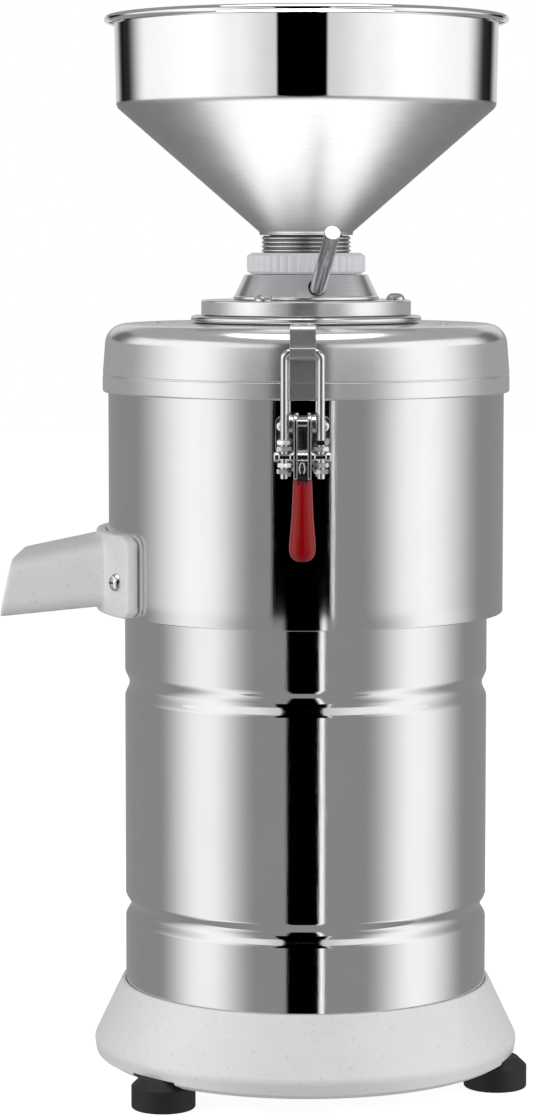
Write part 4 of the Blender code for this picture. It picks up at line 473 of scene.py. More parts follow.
def hand_over(piece, name, body, finish, nodes=(), angle=30.0):
    """Names and dresses a finished piece, and lets it ride on its body."""
    pick(piece)
    settle()
    bpy.ops.object.shade_smooth_by_angle(angle=math.radians(angle))
    apply(piece, "WEIGHTED_NORMAL", keep_sharp=True)
    piece.name = name
    piece.data.name = name
    piece.data.materials.clear()
    piece.data.materials.append(bpy.data.materials[finish])
    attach(piece, body)
    if nodes:
        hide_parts(*nodes)
    return piece


# Finishes


class Signal:
    """A node's output; arithmetic on it adds the Math nodes."""

    def __init__(self, finish, socket):
        self.finish = finish
        self.socket = socket

    def math(self, operation, *values):
        return self.finish.node("ShaderNodeMath", {"operation": operation}, dict(enumerate(values)))

    def __add__(self, other):
        return self.math("ADD", self, other)

    def __radd__(self, other):
        return self + other

    def __sub__(self, other):
        return self.math("SUBTRACT", self, other)

    def __rsub__(self, other):
        return self.math("SUBTRACT", other, self)

    def __mul__(self, other):
        return self.math("MULTIPLY", self, other)

    def __truediv__(self, other):
        return self.math("DIVIDE", self, other)

    def __pow__(self, other):
        return self.math("POWER", self, other)


class Finish:
    """A procedural material round one Principled shader."""

    def __init__(self, name, **constants):
        self.material = bpy.data.materials.new(name)
        self.material.use_nodes = True
        self.tree = self.material.node_tree
        self.shader = self.tree.nodes["Principled BSDF"]
        self.feed(self.shader, {key.replace("_", " "): value for key, value in constants.items()})
        spot = self.node("ShaderNodeTexCoord", {}, {}, "Object")
        self.place = self.node("ShaderNodeMapping", {}, {"Vector": spot, "Location": (-AXIS_X, 0.0, 0.0)})
        split = self.tree.nodes.new("ShaderNodeSeparateXYZ")
        self.feed(split, {0: self.place})
        self.x, self.y, self.z = (Signal(self, socket) for socket in split.outputs)

    def node(self, kind, settings, inputs, output=0):
        made = self.tree.nodes.new(kind)
        for key, value in settings.items():
            if key == "stops":
                self.set_stops(made.color_ramp, value)
            else:
                setattr(made, key, value)
        self.feed(made, inputs)
        return Signal(self, made.outputs[output])

    def feed(self, node, inputs):
        for key, value in inputs.items():
            if isinstance(value, Signal):
                self.tree.links.new(value.socket, node.inputs[key])
            else:
                node.inputs[key].default_value = value

    @staticmethod
    def set_stops(ramp, stops):
        while len(ramp.elements) < len(stops):
            ramp.elements.new(1.0)
        for element, (position, value) in zip(ramp.elements, stops):
            element.position = position
            element.color = (value, value, value, 1.0)

    def vector(self, x, y, z):
        return self.node("ShaderNodeCombineXYZ", {}, {0: x, 1: y, 2: z})

    def stretched(self, across, up):
        """The place, scaled across and up, for grain with a direction."""
        return self.node("ShaderNodeMapping", {}, {"Vector": self.place, "Scale": (across, across, up)})

    def noise(self, vector, scale, detail=2.0, roughness=0.5):
        inputs = {"Vector": vector, "Scale": scale, "Detail": detail, "Roughness": roughness}
        return self.node("ShaderNodeTexNoise", {}, inputs, "Fac")

    def radius(self):
        return (self.x * self.x + self.y * self.y) ** 0.5

    def ramp(self, value, low, high):
        """0 below low, 1 above high, smooth between."""
        settings = {"interpolation_type": "SMOOTHSTEP"}
        inputs = {"Value": value, "From Min": low, "From Max": high}
        return self.node("ShaderNodeMapRange", settings, inputs)

    def blend(self, factor, first, second):
        """A colour between two colours."""
        inputs = {0: factor, 6: first, 7: second}
        return self.node("ShaderNodeMix", {"data_type": "RGBA"}, inputs, 2)

    def bump(self, height, strength, distance):
        return self.node("ShaderNodeBump", {}, {"Height": height, "Strength": strength, "Distance": distance})

    def surface(self, **inputs):
        self.feed(self.shader, {key.replace("_", " "): value for key, value in inputs.items()})
        return self.material


def shade(colour_value, factor):
    """A colour made lighter or darker, with full alpha."""
    return (*(min(channel * factor, 1.0) for channel in colour_value), 1.0)


def stainless_finish(name, tone):
    """Polished sheet: fine upright grain, a faint waviness and wiped marks."""
    finish = Finish(name, Metallic=1.0)
    grain = finish.noise(finish.stretched(1.0, 0.02), 2600.0, 2.0)
    wave = finish.noise(finish.stretched(1.0, 0.35), 14.0, 1.0)
    wiped = finish.noise(finish.stretched(1.0, 0.6), 45.0, 4.0, 0.6)
    height = grain * 0.12 + wave * 0.6
    finish.surface(
        Base_Color=finish.blend(wiped, shade(tone, 0.96), shade(tone, 1.03)),
        Roughness=0.028 + grain * 0.020 + wiped * 0.020,
        Normal=finish.bump(height, 0.10, 0.0005),
    )


def hopper_finish(name, tone):
    """Mirror-polished wall and rim over a rougher cone with short brushed lines round it; the cone's colour
    is darkened below the wall's, painted shade.
    """
    finish = Finish(name, Metallic=1.0)
    cone = 1.0 - finish.ramp(finish.z, HOPPER_CORNER_LEVEL + 0.0010, HOPPER_CORNER_LEVEL + 0.0027)
    brushed = finish.noise(finish.stretched(0.05, 1.0), 1500.0, 3.0, 0.7)
    grit = finish.noise(finish.stretched(0.2, 1.0), 2600.0, 2.0, 0.6)
    cloud = finish.noise(finish.place, 60.0, 4.0, 0.6)
    bright = finish.blend(cloud, shade(tone, 0.95), shade(tone, 1.04))
    # Painted shade: the cone's steel gets a much darker colour than the wall's.
    dull = finish.blend(brushed, shade(tone, 0.42), shade(tone, 0.58))
    satin = 0.36 + brushed * 0.08 + cloud * 0.08
    mirror = 0.022 + cloud * 0.016
    finish.surface(
        Base_Color=finish.blend(cone, bright, dull),
        Roughness=mirror + cone * (satin - mirror),
        Normal=finish.bump((brushed * 0.6 + grit * 0.4) * cone, 0.25, 0.0003),
    )


def satin_finish(name, tone):
    """Spun aluminium: a soft bloom over a sheen, fine rings and an upright grain on its side."""
    finish = Finish(name, Metallic=0.82, Specular_IOR_Level=0.3)
    rings = finish.noise(finish.vector(finish.radius(), finish.z, 0.0), 1400.0, 2.0, 0.6)
    grain = finish.noise(finish.stretched(1.0, 0.04), 1300.0, 2.0, 0.6)
    bloom = finish.noise(finish.place, 38.0, 4.0, 0.6)
    finish.surface(
        Base_Color=finish.blend(bloom * 0.5 + grain * 0.5, shade(tone, 0.94), shade(tone, 1.05)),
        Roughness=0.13 + rings * 0.05 + bloom * 0.06,
        Normal=finish.bump(rings * 0.5 + grain * 0.5, 0.04, 0.0003),
    )


def machined_finish(name, tone, crest=0.0):
    """Turned aluminium with tool lines round its axis; below a crest the grooves are coloured darker, painted
    shade.
    """
    finish = Finish(name, Metallic=0.80, Specular_IOR_Level=0.3)
    radius = finish.radius()
    lines = finish.noise(finish.vector(radius, finish.z, 0.0), 2400.0, 2.0, 0.7)
    coarse = finish.noise(finish.vector(radius, finish.z, 0.0), 500.0, 1.0)
    dull = finish.noise(finish.place, 90.0, 4.0, 0.6)
    # Painted shade: the grooves below the crest get a darker colour.
    groove = finish.ramp(radius, crest - 0.0009, crest - 0.0001)
    finish.surface(
        Base_Color=finish.blend(
            groove, shade(tone, 0.32), finish.blend(dull, shade(tone, 0.90), shade(tone, 1.05))
        ),
        Roughness=0.15 + lines * 0.06 + dull * 0.06,
        Normal=finish.bump(lines * 0.7 + coarse * 0.3, 0.12, 0.0003),
    )


def cast_finish(name, tone):
    """Sand casting: close grain, pits, paler rubbed places and a slightly uneven skin."""
    finish = Finish(name, Metallic=0.30, Specular_IOR_Level=0.4)
    sand = finish.noise(finish.place, 1250.0, 3.0, 0.7)
    pits = finish.noise(finish.place, 520.0, 2.0, 0.6)
    skin = finish.noise(finish.place, 55.0, 3.0, 0.55)
    cloud = finish.noise(finish.place, 22.0, 4.0, 0.6)
    specks = finish.ramp(sand, 0.60, 0.78)
    dark = finish.ramp(pits, 0.62, 0.74)
    tint = finish.blend(cloud, shade(tone, 0.92), shade(tone, 1.08))
    tint = finish.blend(specks * 0.55, tint, shade(tone, 1.35))
    tint = finish.blend(dark * 0.45, tint, shade(tone, 0.62))
    height = sand * 0.35 + (1.0 - dark) * 0.25 + skin * 1.1
    finish.surface(
        Base_Color=tint,
        Roughness=0.50 + sand * 0.16 - specks * 0.12,
        Normal=finish.bump(height, 0.35, 0.0004),
    )


def plated_finish(name, tone, dullness):
    """Bright plating over steel, with faint drawing lines and rubbed spots."""
    finish = Finish(name, Metallic=1.0)
    spots = finish.noise(finish.place, 700.0, 3.0, 0.6)
    drawn = finish.noise(finish.stretched(1.0, 0.08), 1800.0, 2.0)
    finish.surface(
        Base_Color=finish.blend(spots, shade(tone, 0.88), shade(tone, 1.05)),
        Roughness=dullness + spots * 0.08 + drawn * 0.05,
        Normal=finish.bump(drawn * 0.5 + spots * 0.5, 0.08, 0.0003),
    )


def nylon_finish(name, tone):
    """Pale moulded nylon with a faint glow, painted light, and greyer down in its grooves, painted shade."""
    # Painted light: a faint emission makes the nylon glow though it is no lamp.
    finish = Finish(name, IOR=1.53, Emission_Color=(0.90, 0.91, 1.0, 1.0), Emission_Strength=0.08)
    milky = finish.noise(finish.place, 120.0, 3.0)
    fine = finish.noise(finish.place, 1500.0, 2.0)
    # Painted shade: the grooves between the teeth get a greyer colour.
    depth = finish.ramp(finish.radius(), RING_RADIUS - 0.0010, RING_RADIUS - 0.0001)
    tint = finish.blend(milky, shade(tone, 0.95), shade(tone, 1.05))
    finish.surface(
        Base_Color=finish.blend(0.75 + depth * 0.25, shade(tone, 0.86), tint),
        Roughness=0.36 + milky * 0.12,
        Normal=finish.bump(fine, 0.06, 0.0003),
    )


def moulded_finish(name, tone, roughness, grain_scale, strength):
    """Rubber or plastic with a moulded grain, dusty in places."""
    finish = Finish(name, Specular_IOR_Level=0.35)
    grain = finish.noise(finish.place, grain_scale, 3.0, 0.6)
    cloud = finish.noise(finish.place, 70.0, 4.0, 0.6)
    finish.surface(
        Base_Color=finish.blend(cloud, shade(tone, 0.85), shade(tone, 1.25)),
        Roughness=roughness + cloud * 0.12,
        Normal=finish.bump(grain, strength, 0.0003),
    )


def stone_finish(name):
    """Grinding stone: dark and pale grains in a grey bond."""
    finish = Finish(name)
    cells = finish.node("ShaderNodeTexVoronoi", {}, {"Vector": finish.place, "Scale": 900.0}, "Distance")
    cloud = finish.noise(finish.place, 180.0, 4.0)
    tint = finish.blend(finish.ramp(cells, 0.1, 0.6), (0.34, 0.33, 0.31, 1.0), (0.13, 0.125, 0.12, 1.0))
    finish.surface(
        Base_Color=finish.blend(cloud * 0.5, tint, (0.42, 0.40, 0.37, 1.0)),
        Roughness=0.80 + cloud * 0.15,
        Normal=finish.bump(cells, 0.5, 0.0004),
    )


def core_finish(name):
    """Laminated core iron: thin sheets stacked upwards."""
    finish = Finish(name, Metallic=1.0)
    sheets = finish.node("ShaderNodeMath", {"operation": "PINGPONG"}, {0: finish.z, 1: 0.0005}) * 2000.0
    rust = finish.noise(finish.place, 240.0, 4.0, 0.6)
    finish.surface(
        Base_Color=finish.blend(rust, (0.20, 0.20, 0.21, 1.0), (0.30, 0.28, 0.26, 1.0)),
        Roughness=0.42 + rust * 0.2,
        Normal=finish.bump(sheets, 0.4, 0.0002),
    )


def copper_finish(name):
    """Enamelled winding wire laid round the core."""
    finish = Finish(name, Metallic=0.9, Coat_Weight=0.5)
    turns = finish.noise(finish.vector(finish.radius(), finish.z, 0.0), 700.0, 1.0)
    finish.surface(
        Base_Color=finish.blend(turns, (0.36, 0.12, 0.04, 1.0), (0.62, 0.25, 0.10, 1.0)),
        Roughness=0.30 + turns * 0.12,
        Normal=finish.bump(turns, 0.5, 0.0004),
    )


class MACHINE_OT_finishes(bpy.types.Operator):
    """Makes the procedural finishes of the metal, rubber and plastic pieces"""

    bl_idname = "machine.finishes"
    bl_label = "Finishes"

    def execute(self, context):
        tones = context.scene.machine_colours
        stainless_finish("stainless sheet", tones.stainless)
        hopper_finish("hopper steel", tones.hopper)
        satin_finish("satin aluminium", tones.satin)
        machined_finish("machined aluminium", tones.machined)
        machined_finish("threaded aluminium", tones.machined, NECK_RADIUS)
        cast_finish("cast aluminium", tones.cast)
        plated_finish("plated steel", tones.plated, 0.10)
        plated_finish("stamped stainless", tones.plated, 0.13)
        plated_finish("chromed rod", shade(tones.plated, 0.62)[:3], 0.06)
        plated_finish("zinc sheet", shade(tones.plated, 0.8)[:3], 0.34)
        nylon_finish("moulded nylon", tones.nylon)
        moulded_finish("red vinyl", tones.vinyl, 0.20, 260.0, 0.05)
        moulded_finish("silicone", tones.silicone, 0.38, 900.0, 0.05)
        moulded_finish("black rubber", tones.rubber, 0.55, 1600.0, 0.18)
        moulded_finish("black plastic", tones.plastic, 0.38, 1900.0, 0.14)
        stone_finish("millstone")
        core_finish("core iron")
        copper_finish("copper wire")
        return {"FINISHED"}


# Drums and base


class MACHINE_OT_drums(bpy.types.Operator):
    """Rolls the motor housing with its two grooves and the grinding housing above it"""

    bl_idname = "machine.drums"
    bl_label = "Drums"

    def execute(self, context):
        outer = [(HOUSING_RADIUS, HOUSING_LOW)]
        for level, depth, height in GROOVES:
            for step in range(GROOVE_STEPS + 1):
                share = step / GROOVE_STEPS
                drop = depth * (0.5 - 0.5 * math.cos(math.tau * share)) ** 0.8
                outer.append((HOUSING_RADIUS - drop, level - height / 2 + height * share))
        outer.append((HOUSING_RADIUS, HOUSING_TOP))
        housing = turned(sheet_outline(outer, HOUSING_WALL), FINE_STEPS)
        hand_over(housing, "motor_housing_sheet", "root", "stainless sheet", ["motor_housing"], 45)
        hem = 0.0006
        outer = round_corners(
            (DRUM_RADIUS, DRUM_TOP),
            (DRUM_RADIUS - DRUM_WALL, DRUM_TOP),
            (DRUM_RADIUS - DRUM_WALL, DRUM_LOW, hem),
            (DRUM_RADIUS, DRUM_LOW, hem),
            steps=4,
        )
        drum = turned(outer, FINE_STEPS)
        low = (AXIS_X - 0.12, -WINDOW_HALF, WINDOW_LOW)
        window = block(low, (AXIS_X - 0.06, WINDOW_HALF, WINDOW_HIGH))
        combine(drum, window)
        hand_over(drum, "grinding_housing_sheet", "root", "stainless sheet", ["grinding_housing"], 45)
        return {"FINISHED"}


class MACHINE_OT_base(bpy.types.Operator):
    """Turns the flared base casting and its three rubber feet"""

    bl_idname = "machine.base"
    bl_label = "Base and feet"

    def execute(self, context):
        rim = HOUSING_RADIUS + 0.0020
        outline = round_corners(
            (rim, BASE_TOP, 0.0007),
            (BASE_RADIUS, 0.0218, 0.0065),
            (BASE_RADIUS - 0.0012, BASE_LEVEL + 0.0025, 0.0012),
            (BASE_RADIUS - 0.0055, BASE_LEVEL, 0.0008),
            (BASE_RADIUS - 0.0265, BASE_LEVEL, 0.0010),
            (BASE_RADIUS - 0.0265, BASE_LEVEL + BASE_FLOOR, 0.0010),
            (BASE_RADIUS - 0.0055, BASE_LEVEL + BASE_FLOOR, 0.0010),
            (BASE_RADIUS - 0.0140, BASE_SEAT - 0.0095),
            (HOUSING_RADIUS - 0.0080, BASE_SEAT - 0.0055),
            (HOUSING_RADIUS - 0.0080, BASE_SEAT),
            (HOUSING_RADIUS + GAP, BASE_SEAT),
            (HOUSING_RADIUS + GAP, BASE_TOP, 0.0004),
        )
        casting = turned(outline, BASE_STEPS)
        for azimuth in FOOT_AZIMUTHS.values():
            place = around(FOOT_CIRCLE, azimuth, 0.0)
            pocket = rod(FOOT_RADIUS + GAP, place, place + Vector((0.0, 0.0, FOOT_HEIGHT + GAP)), FOOT_STEPS)
            combine(casting, pocket)
        hand_over(casting, "base_casting_skin", "root", "cast aluminium", ["base_casting"])
        bpy.data.collections["lit from the front"].objects.link(casting)
        outline = round_corners(
            (0.0033, FOOT_HEIGHT),
            (0.0115, FOOT_HEIGHT, 0.0008),
            (FOOT_RADIUS, FOOT_HEIGHT - 0.0046, 0.0012),
            (FOOT_RADIUS, 0.0, 0.0012),
            (0.0058, 0.0),
            (0.0058, 0.0073),
            (0.0033, 0.0073),
        )
        for side, azimuth in FOOT_AZIMUTHS.items():
            centre = around(FOOT_CIRCLE, azimuth, 0.0)
            foot = turned(outline, FOOT_STEPS, centre.xy)
            hand_over(foot, f"rubber_foot_{side}", "root", "black rubber", [f"foot_{side}"])
        return {"FINISHED"}


# Lid and adjuster


def pan_head_screw():
    """An upright pan-head screw at the origin, with a cross recess."""
    recess = bpy.context.scene.machine_sizes.recess_depth
    screw = turned_small(
        (0.0, SCREW_HEAD_HEIGHT),
        (SCREW_HEAD_RADIUS - 0.0009, SCREW_HEAD_HEIGHT, 0.0030),
        (SCREW_HEAD_RADIUS, 0.0004, 0.0006),
        (SCREW_HEAD_RADIUS, 0.0),
        (SCREW_RADIUS, 0.0),
        (SCREW_RADIUS, -SCREW_SHANK),
        (0.0, -SCREW_SHANK),
    )
    for turn in (0.0, 90.0):
        low = (-0.0027, -0.00045, SCREW_HEAD_HEIGHT - recess)
        arm = block(low, (0.0027, 0.00045, SCREW_HEAD_HEIGHT + 0.001))
        arm.rotation_euler = (0.0, 0.0, math.radians(turn))
        combine(screw, arm)
    return screw


class MACHINE_OT_lid(bpy.types.Operator):
    """Spins the lid with the line round its band, and sets the small flush screws in its top"""

    bl_idname = "machine.lid"
    bl_label = "Lid"

    def execute(self, context):
        seam = context.scene.machine_sizes.seam_depth
        line = LID_RADIUS - 0.00002
        outline = round_corners(
            (SLEEVE_RADIUS + GAP, LID_TOP),
            (LID_CROWN_RADIUS, LID_TOP, 0.0300),
            (LID_RADIUS - 0.0020, LID_RIM_TOP, 0.0105),
            (line, LID_SEAM + 0.0006, 0.0004),
            (line - seam, LID_SEAM + 0.0002),
            (line - seam, LID_SEAM - 0.0002),
            (LID_RADIUS, LID_SEAM - 0.0004, 0.0002),
            (LID_RADIUS, LID_LOW, 0.0012),
            (DRUM_RADIUS + GAP, LID_LOW, 0.0003),
            (DRUM_RADIUS + GAP, DRUM_TOP + 0.0040),
            (LID_RADIUS - 0.0055, DRUM_TOP + 0.0040),
            (LID_RADIUS - 0.0055, LID_RIM_TOP - 0.0060, 0.0040),
            (SLEEVE_RADIUS + GAP, LID_RIM_TOP - 0.0060),
            steps=10,
        )
        cap = turned(outline, FINE_STEPS)
        hand_over(cap, "lid_cap", "root", "satin aluminium", ["lid"])
        screws = []
        for radius, azimuth in LID_SCREWS:
            drop = (radius - LID_CROWN_RADIUS) / (LID_RADIUS - LID_CROWN_RADIUS) * (LID_TOP - LID_RIM_TOP)
            head = turned_small((0.0, 0.00045), (0.0030, 0.00045, 0.0006), (0.0034, -0.0008), (0.0, -0.0008))
            slot = block((-0.0026, -0.0004, 0.0001), (0.0026, 0.0004, 0.0020))
            combine(head, slot)
            screws.append(stand(head, around(radius, azimuth, LID_TOP - drop), (0.03, 0.0, 1.0)))
        heads = join(*screws)
        hand_over(heads, "lid_screw_heads", "root", "plated steel")
        return {"FINISHED"}


class MACHINE_OT_adjuster(bpy.types.Operator):
    """Turns the bead ring, flange, neck with its thread, tapered collar, lever and lock ring"""

    bl_idname = "machine.adjuster"
    bl_label = "Adjuster"

    def execute(self, context):
        self.flange()
        self.neck(context.scene.machine_sizes)
        self.collar()
        self.ring(context.scene.machine_sizes)
        return {"FINISHED"}

    def flange(self):
        bead = (BEAD_TOP - BEAD_LOW) / 2
        outline = round_corners(
            (SLEEVE_RADIUS + GAP, BEAD_TOP),
            (BEAD_RADIUS, BEAD_TOP, bead * 0.96),
            (BEAD_RADIUS, BEAD_LOW, bead * 0.96),
            (SLEEVE_RADIUS + GAP, BEAD_LOW),
            steps=8,
        )
        ring = turned(outline)
        hand_over(ring, "bead_ring", "root", "stamped stainless", ["flange_ring"])
        outline = round_corners(
            (SLEEVE_BORE, FLANGE_TOP, 0.0004),
            (FLANGE_RADIUS, FLANGE_TOP, 0.0009),
            (FLANGE_RADIUS, FLANGE_LOW, 0.0006),
            (SLEEVE_RADIUS, FLANGE_LOW),
            (SLEEVE_RADIUS, SLEEVE_LOW),
            (SLEEVE_BORE, SLEEVE_LOW),
        )
        plate = turned(outline)
        hand_over(plate, "flange_plate", "root", "machined aluminium", ["adjuster_flange"])
        screw = pan_head_screw()
        for number, azimuth in enumerate(FLANGE_SCREW_AZIMUTHS, start=1):
            copy = copy_of(screw)
            copy.rotation_euler = (0.0, 0.0, math.radians(35.0 * number))
            copy.location = around(FLANGE_SCREW_CIRCLE, azimuth, FLANGE_TOP + 0.0001)
            hand_over(copy, f"flange_pan_head_{number}", "root", "plated steel", [f"flange_screw_{number}"])
        bpy.data.objects.remove(screw)

    def neck(self, sizes):
        crest = NECK_RADIUS
        root = crest - sizes.thread_depth
        outline = [(NECK_BORE, NECK_TOP), (root - GAP, NECK_TOP)]
        level = NECK_TOP - GAP
        pitch = sizes.thread_pitch
        while level - pitch > RING_LOW - 0.012:
            outline += [
                (root, level),
                (crest, level - pitch * 0.36),
                (crest, level - pitch * 0.52),
                (root, level - pitch * 0.88),
            ]
            level -= pitch
        outline += [
            (crest, level),
            (crest, NECK_PLATE_TOP + 0.0016),
            (crest + 0.0016, NECK_PLATE_TOP),
            (NECK_PLATE_RADIUS, NECK_PLATE_TOP),
            (NECK_PLATE_RADIUS, NECK_LOW),
            (NECK_BORE, NECK_LOW),
        ]
        tube = turned(outline, NECK_STEPS)
        hand_over(tube, "neck_thread", "neck", "threaded aluminium", ["threaded_neck"])

    def collar(self):
        middle = (COLLAR_LOW + COLLAR_TOP) / 2
        surface = (COLLAR_RADIUS + COLLAR_TOP_RADIUS) / 2
        outline = round_corners(
            (SLEEVE_BORE, COLLAR_TOP, 0.0004),
            (COLLAR_TOP_RADIUS, COLLAR_TOP, 0.0007),
            (COLLAR_RADIUS, COLLAR_LOW + 0.0018, 0.0005),
            (COLLAR_RADIUS + 0.0006, COLLAR_LOW + 0.0014, 0.0004),
            (COLLAR_RADIUS + 0.0008, COLLAR_LOW, 0.0004),
            (SLEEVE_BORE, COLLAR_LOW),
        )
        nut = turned(outline)
        hole = rod(
            LEVER_RADIUS + 0.0005,
            around(surface - 0.0070, LEVER_AZIMUTH, middle),
            around(COLLAR_RADIUS + 0.0100, LEVER_AZIMUTH, middle),
        )
        combine(nut, hole)
        hand_over(nut, "collar_nut", "collar", "machined aluminium", ["adjusting_collar"])
        rise = math.radians(LEVER_RISE)
        bend = 0.0080
        route = [Vector((surface - 0.0070, middle))]
        for step in range(9):
            angle = rise * step / 8
            route.append(
                Vector((surface + 0.0008 + bend * math.sin(angle), middle + bend * (1.0 - math.cos(angle))))
            )
        route.append(route[-1] + LEVER_LENGTH * Vector((math.cos(rise), math.sin(rise))))
        bar = wire([around(point.x, LEVER_AZIMUTH, point.y) for point in route], LEVER_RADIUS, 8)
        soften(bar, 0.0010, 3)
        hand_over(bar, "lever_rod", "collar", "chromed rod", ["adjusting_lever"], 40)

    def ring(self, sizes):
        outline = []
        samples = 10
        groove_half = 0.22
        for number in range(sizes.ring_teeth * samples):
            phase = number % samples / samples
            dip = max(0.0, 1.0 - abs(phase - 0.5) / groove_half)
            radius = RING_RADIUS - sizes.tooth_depth * dip ** 0.7
            point = around(radius, 360.0 * number / (sizes.ring_teeth * samples), 0.0)
            outline.append((point.x, point.y))
        toothed = slab(outline, RING_LOW, RING_TOP, "top")
        envelope = turned(
            round_corners(
                (SLEEVE_BORE, RING_TOP, 0.0006),
                (RING_RADIUS - 0.0024, RING_TOP, 0.0006),
                (RING_RADIUS + 0.0003, RING_TOP - 0.0017, 0.0006),
                (RING_RADIUS + 0.0003, RING_LOW + 0.0016, 0.0006),
                (RING_RADIUS - 0.0022, RING_LOW, 0.0004),
                (SLEEVE_BORE, RING_LOW),
            )
        )
        combine(toothed, envelope, "INTERSECT")
        hand_over(toothed, "lock_ring_teeth", "lock_ring", "moulded nylon", ["lock_ring"], 35)


class MACHINE_OT_hopper(bpy.types.Operator):
    """Spins the hopper: spigot, lip, cone, wall and the rim rolled outwards"""

    bl_idname = "machine.hopper"
    bl_label = "Hopper"

    def execute(self, context):
        curl_rise = CURL_RADIUS * CURL_FLATNESS
        curl_level = HOPPER_TOP - HOPPER_WALL - curl_rise - RIM_CLEARANCE
        curl_centre = HOPPER_MOUTH_RADIUS + CURL_RADIUS
        outline = []
        for step in range(CURL_STEPS + 1):
            angle = math.radians(CURL_START + CURL_TURN * step / CURL_STEPS)
            radius = curl_centre + CURL_RADIUS * math.cos(angle)
            outline.append((radius, curl_level + curl_rise * math.sin(angle)))
        lower = round_corners(
            outline[-1],
            (HOPPER_CONE_RADIUS, HOPPER_CORNER_LEVEL, 0.0050),
            (HOPPER_LIP_RADIUS, HOPPER_LOW + 0.0016, 0.0012),
            (HOPPER_LIP_RADIUS, HOPPER_LOW, 0.0005),
            (NECK_BORE - GAP, HOPPER_LOW, 0.0008),
            (NECK_BORE - GAP, HOPPER_LOW - HOPPER_SPIGOT),
            steps=8,
        )
        outline += [tuple(point) for point in lower[1:]]
        bowl = turned(sheet_outline(outline, -HOPPER_WALL), FINE_STEPS)
        hand_over(bowl, "hopper_bowl", "hopper", "hopper steel", ["hopper"])
        bpy.data.collections["lit by the card"].objects.link(bowl)
        return {"FINISHED"}


# Spout


class MACHINE_OT_spout(bpy.types.Operator):
    """Casts the spout: curved flange, slanting chute, soft corners, and its two screws"""

    bl_idname = "machine.spout"
    bl_label = "Spout"

    def execute(self, context):
        flange = turned(
            (
                (SPOUT_BACK + SPOUT_WALL, SPOUT_HIGH),
                (SPOUT_BACK + SPOUT_WALL, SPOUT_LOW),
                (SPOUT_BACK, SPOUT_LOW),
                (SPOUT_BACK, SPOUT_HIGH),
            ),
            FINE_STEPS,
        )
        corners = round_corners(
            (-SPOUT_HALF, SPOUT_LOW, SPOUT_CORNER),
            (SPOUT_HALF, SPOUT_LOW, SPOUT_CORNER),
            (SPOUT_HALF, SPOUT_HIGH, SPOUT_CORNER),
            (-SPOUT_HALF, SPOUT_HIGH, SPOUT_CORNER),
        )
        mask = slab(corners, AXIS_X - 0.14, AXIS_X - 0.04, "side")
        combine(flange, mask, "INTERSECT")
        chute = self.chute(margin=0.0, back=-0.0930, overrun=0.0)
        inside = rod(SPOUT_BACK + 0.0010, (AXIS_X, 0.0, 0.20), (AXIS_X, 0.0, 0.32), SEAT_STEPS)
        combine(chute, inside)
        combine(flange, chute, "UNION")
        hollow = self.chute(margin=0.0035, back=-0.0800, overrun=0.0100)
        combine(flange, hollow)
        apply(flange, "REMESH", mode="VOXEL", voxel_size=context.scene.machine_sizes.casting_voxel)
        apply(flange, "SMOOTH", factor=0.5, iterations=7)
        hand_over(flange, "spout_casting", "root", "cast aluminium", ["spout"], 60)
        bpy.data.collections["lit from the front"].objects.link(flange)
        above = bpy.data.collections["lit from above"]
        above.objects.link(flange)
        above.collection_objects[0].light_linking.link_state = "EXCLUDE"
        screw = pan_head_screw()
        for side, azimuth in SPOUT_SCREW_AZIMUTHS.items():
            copy = copy_of(screw)
            place = around(SPOUT_BACK + SPOUT_WALL - 0.0002, azimuth, SPOUT_SCREW_LEVEL)
            stand(copy, place, around(1.0, azimuth, 0.0) - Vector((AXIS_X, 0.0, 0.0)))
            hand_over(copy, f"spout_pan_head_{side}", "root", "plated steel", [f"spout_screw_{side}"])
        bpy.data.objects.remove(screw)
        return {"FINISHED"}

    def chute(self, margin, back, overrun):
        """The slanting block of the chute from its back to its tip, drawn in by the margin."""
        root = -0.1044
        low = 0.2498
        tip = -0.1555
        tip_low = 0.2445
        tip_top = 0.2745
        top = 0.2840
        low_slope = (tip_low - low) / (root - tip)
        top_slope = (tip_top - top) / (root - tip - CHUTE_LEAN)
        half = 0.0400 - margin
        outline = []
        ends = ((back, True), (tip + CHUTE_LEAN - overrun, True), (tip - overrun, False), (back, False))
        for across, upper in ends:
            slope = top_slope if upper else low_slope
            level = (top - margin if upper else low + margin) + slope * (root - across)
            outline.append((AXIS_X + across, level))
        body = slab(outline, -half, half, "front")
        pick(body)
        bpy.ops.object.mode_set(mode="EDIT")
        bpy.ops.mesh.select_mode(type="EDGE")
        bpy.ops.mesh.select_all(action="DESELECT")
        mesh = bmesh.from_edit_mesh(body.data)
        for edge in mesh.edges:
            along = edge.verts[1].co - edge.verts[0].co
            edge.select = abs(along.x) > 0.6 * along.length
        bmesh.update_edit_mesh(body.data)
        bpy.ops.mesh.bevel(offset=max(0.0070 - margin, 0.0010), segments=6)
        bpy.ops.object.mode_set(mode="OBJECT")
        return body


# Latches


def at_pivot(outline):
    """Side-view points (y, z) given from the latch's pivot."""
    return [(PIVOT.y + point[0], PIVOT.z + point[1]) for point in outline]


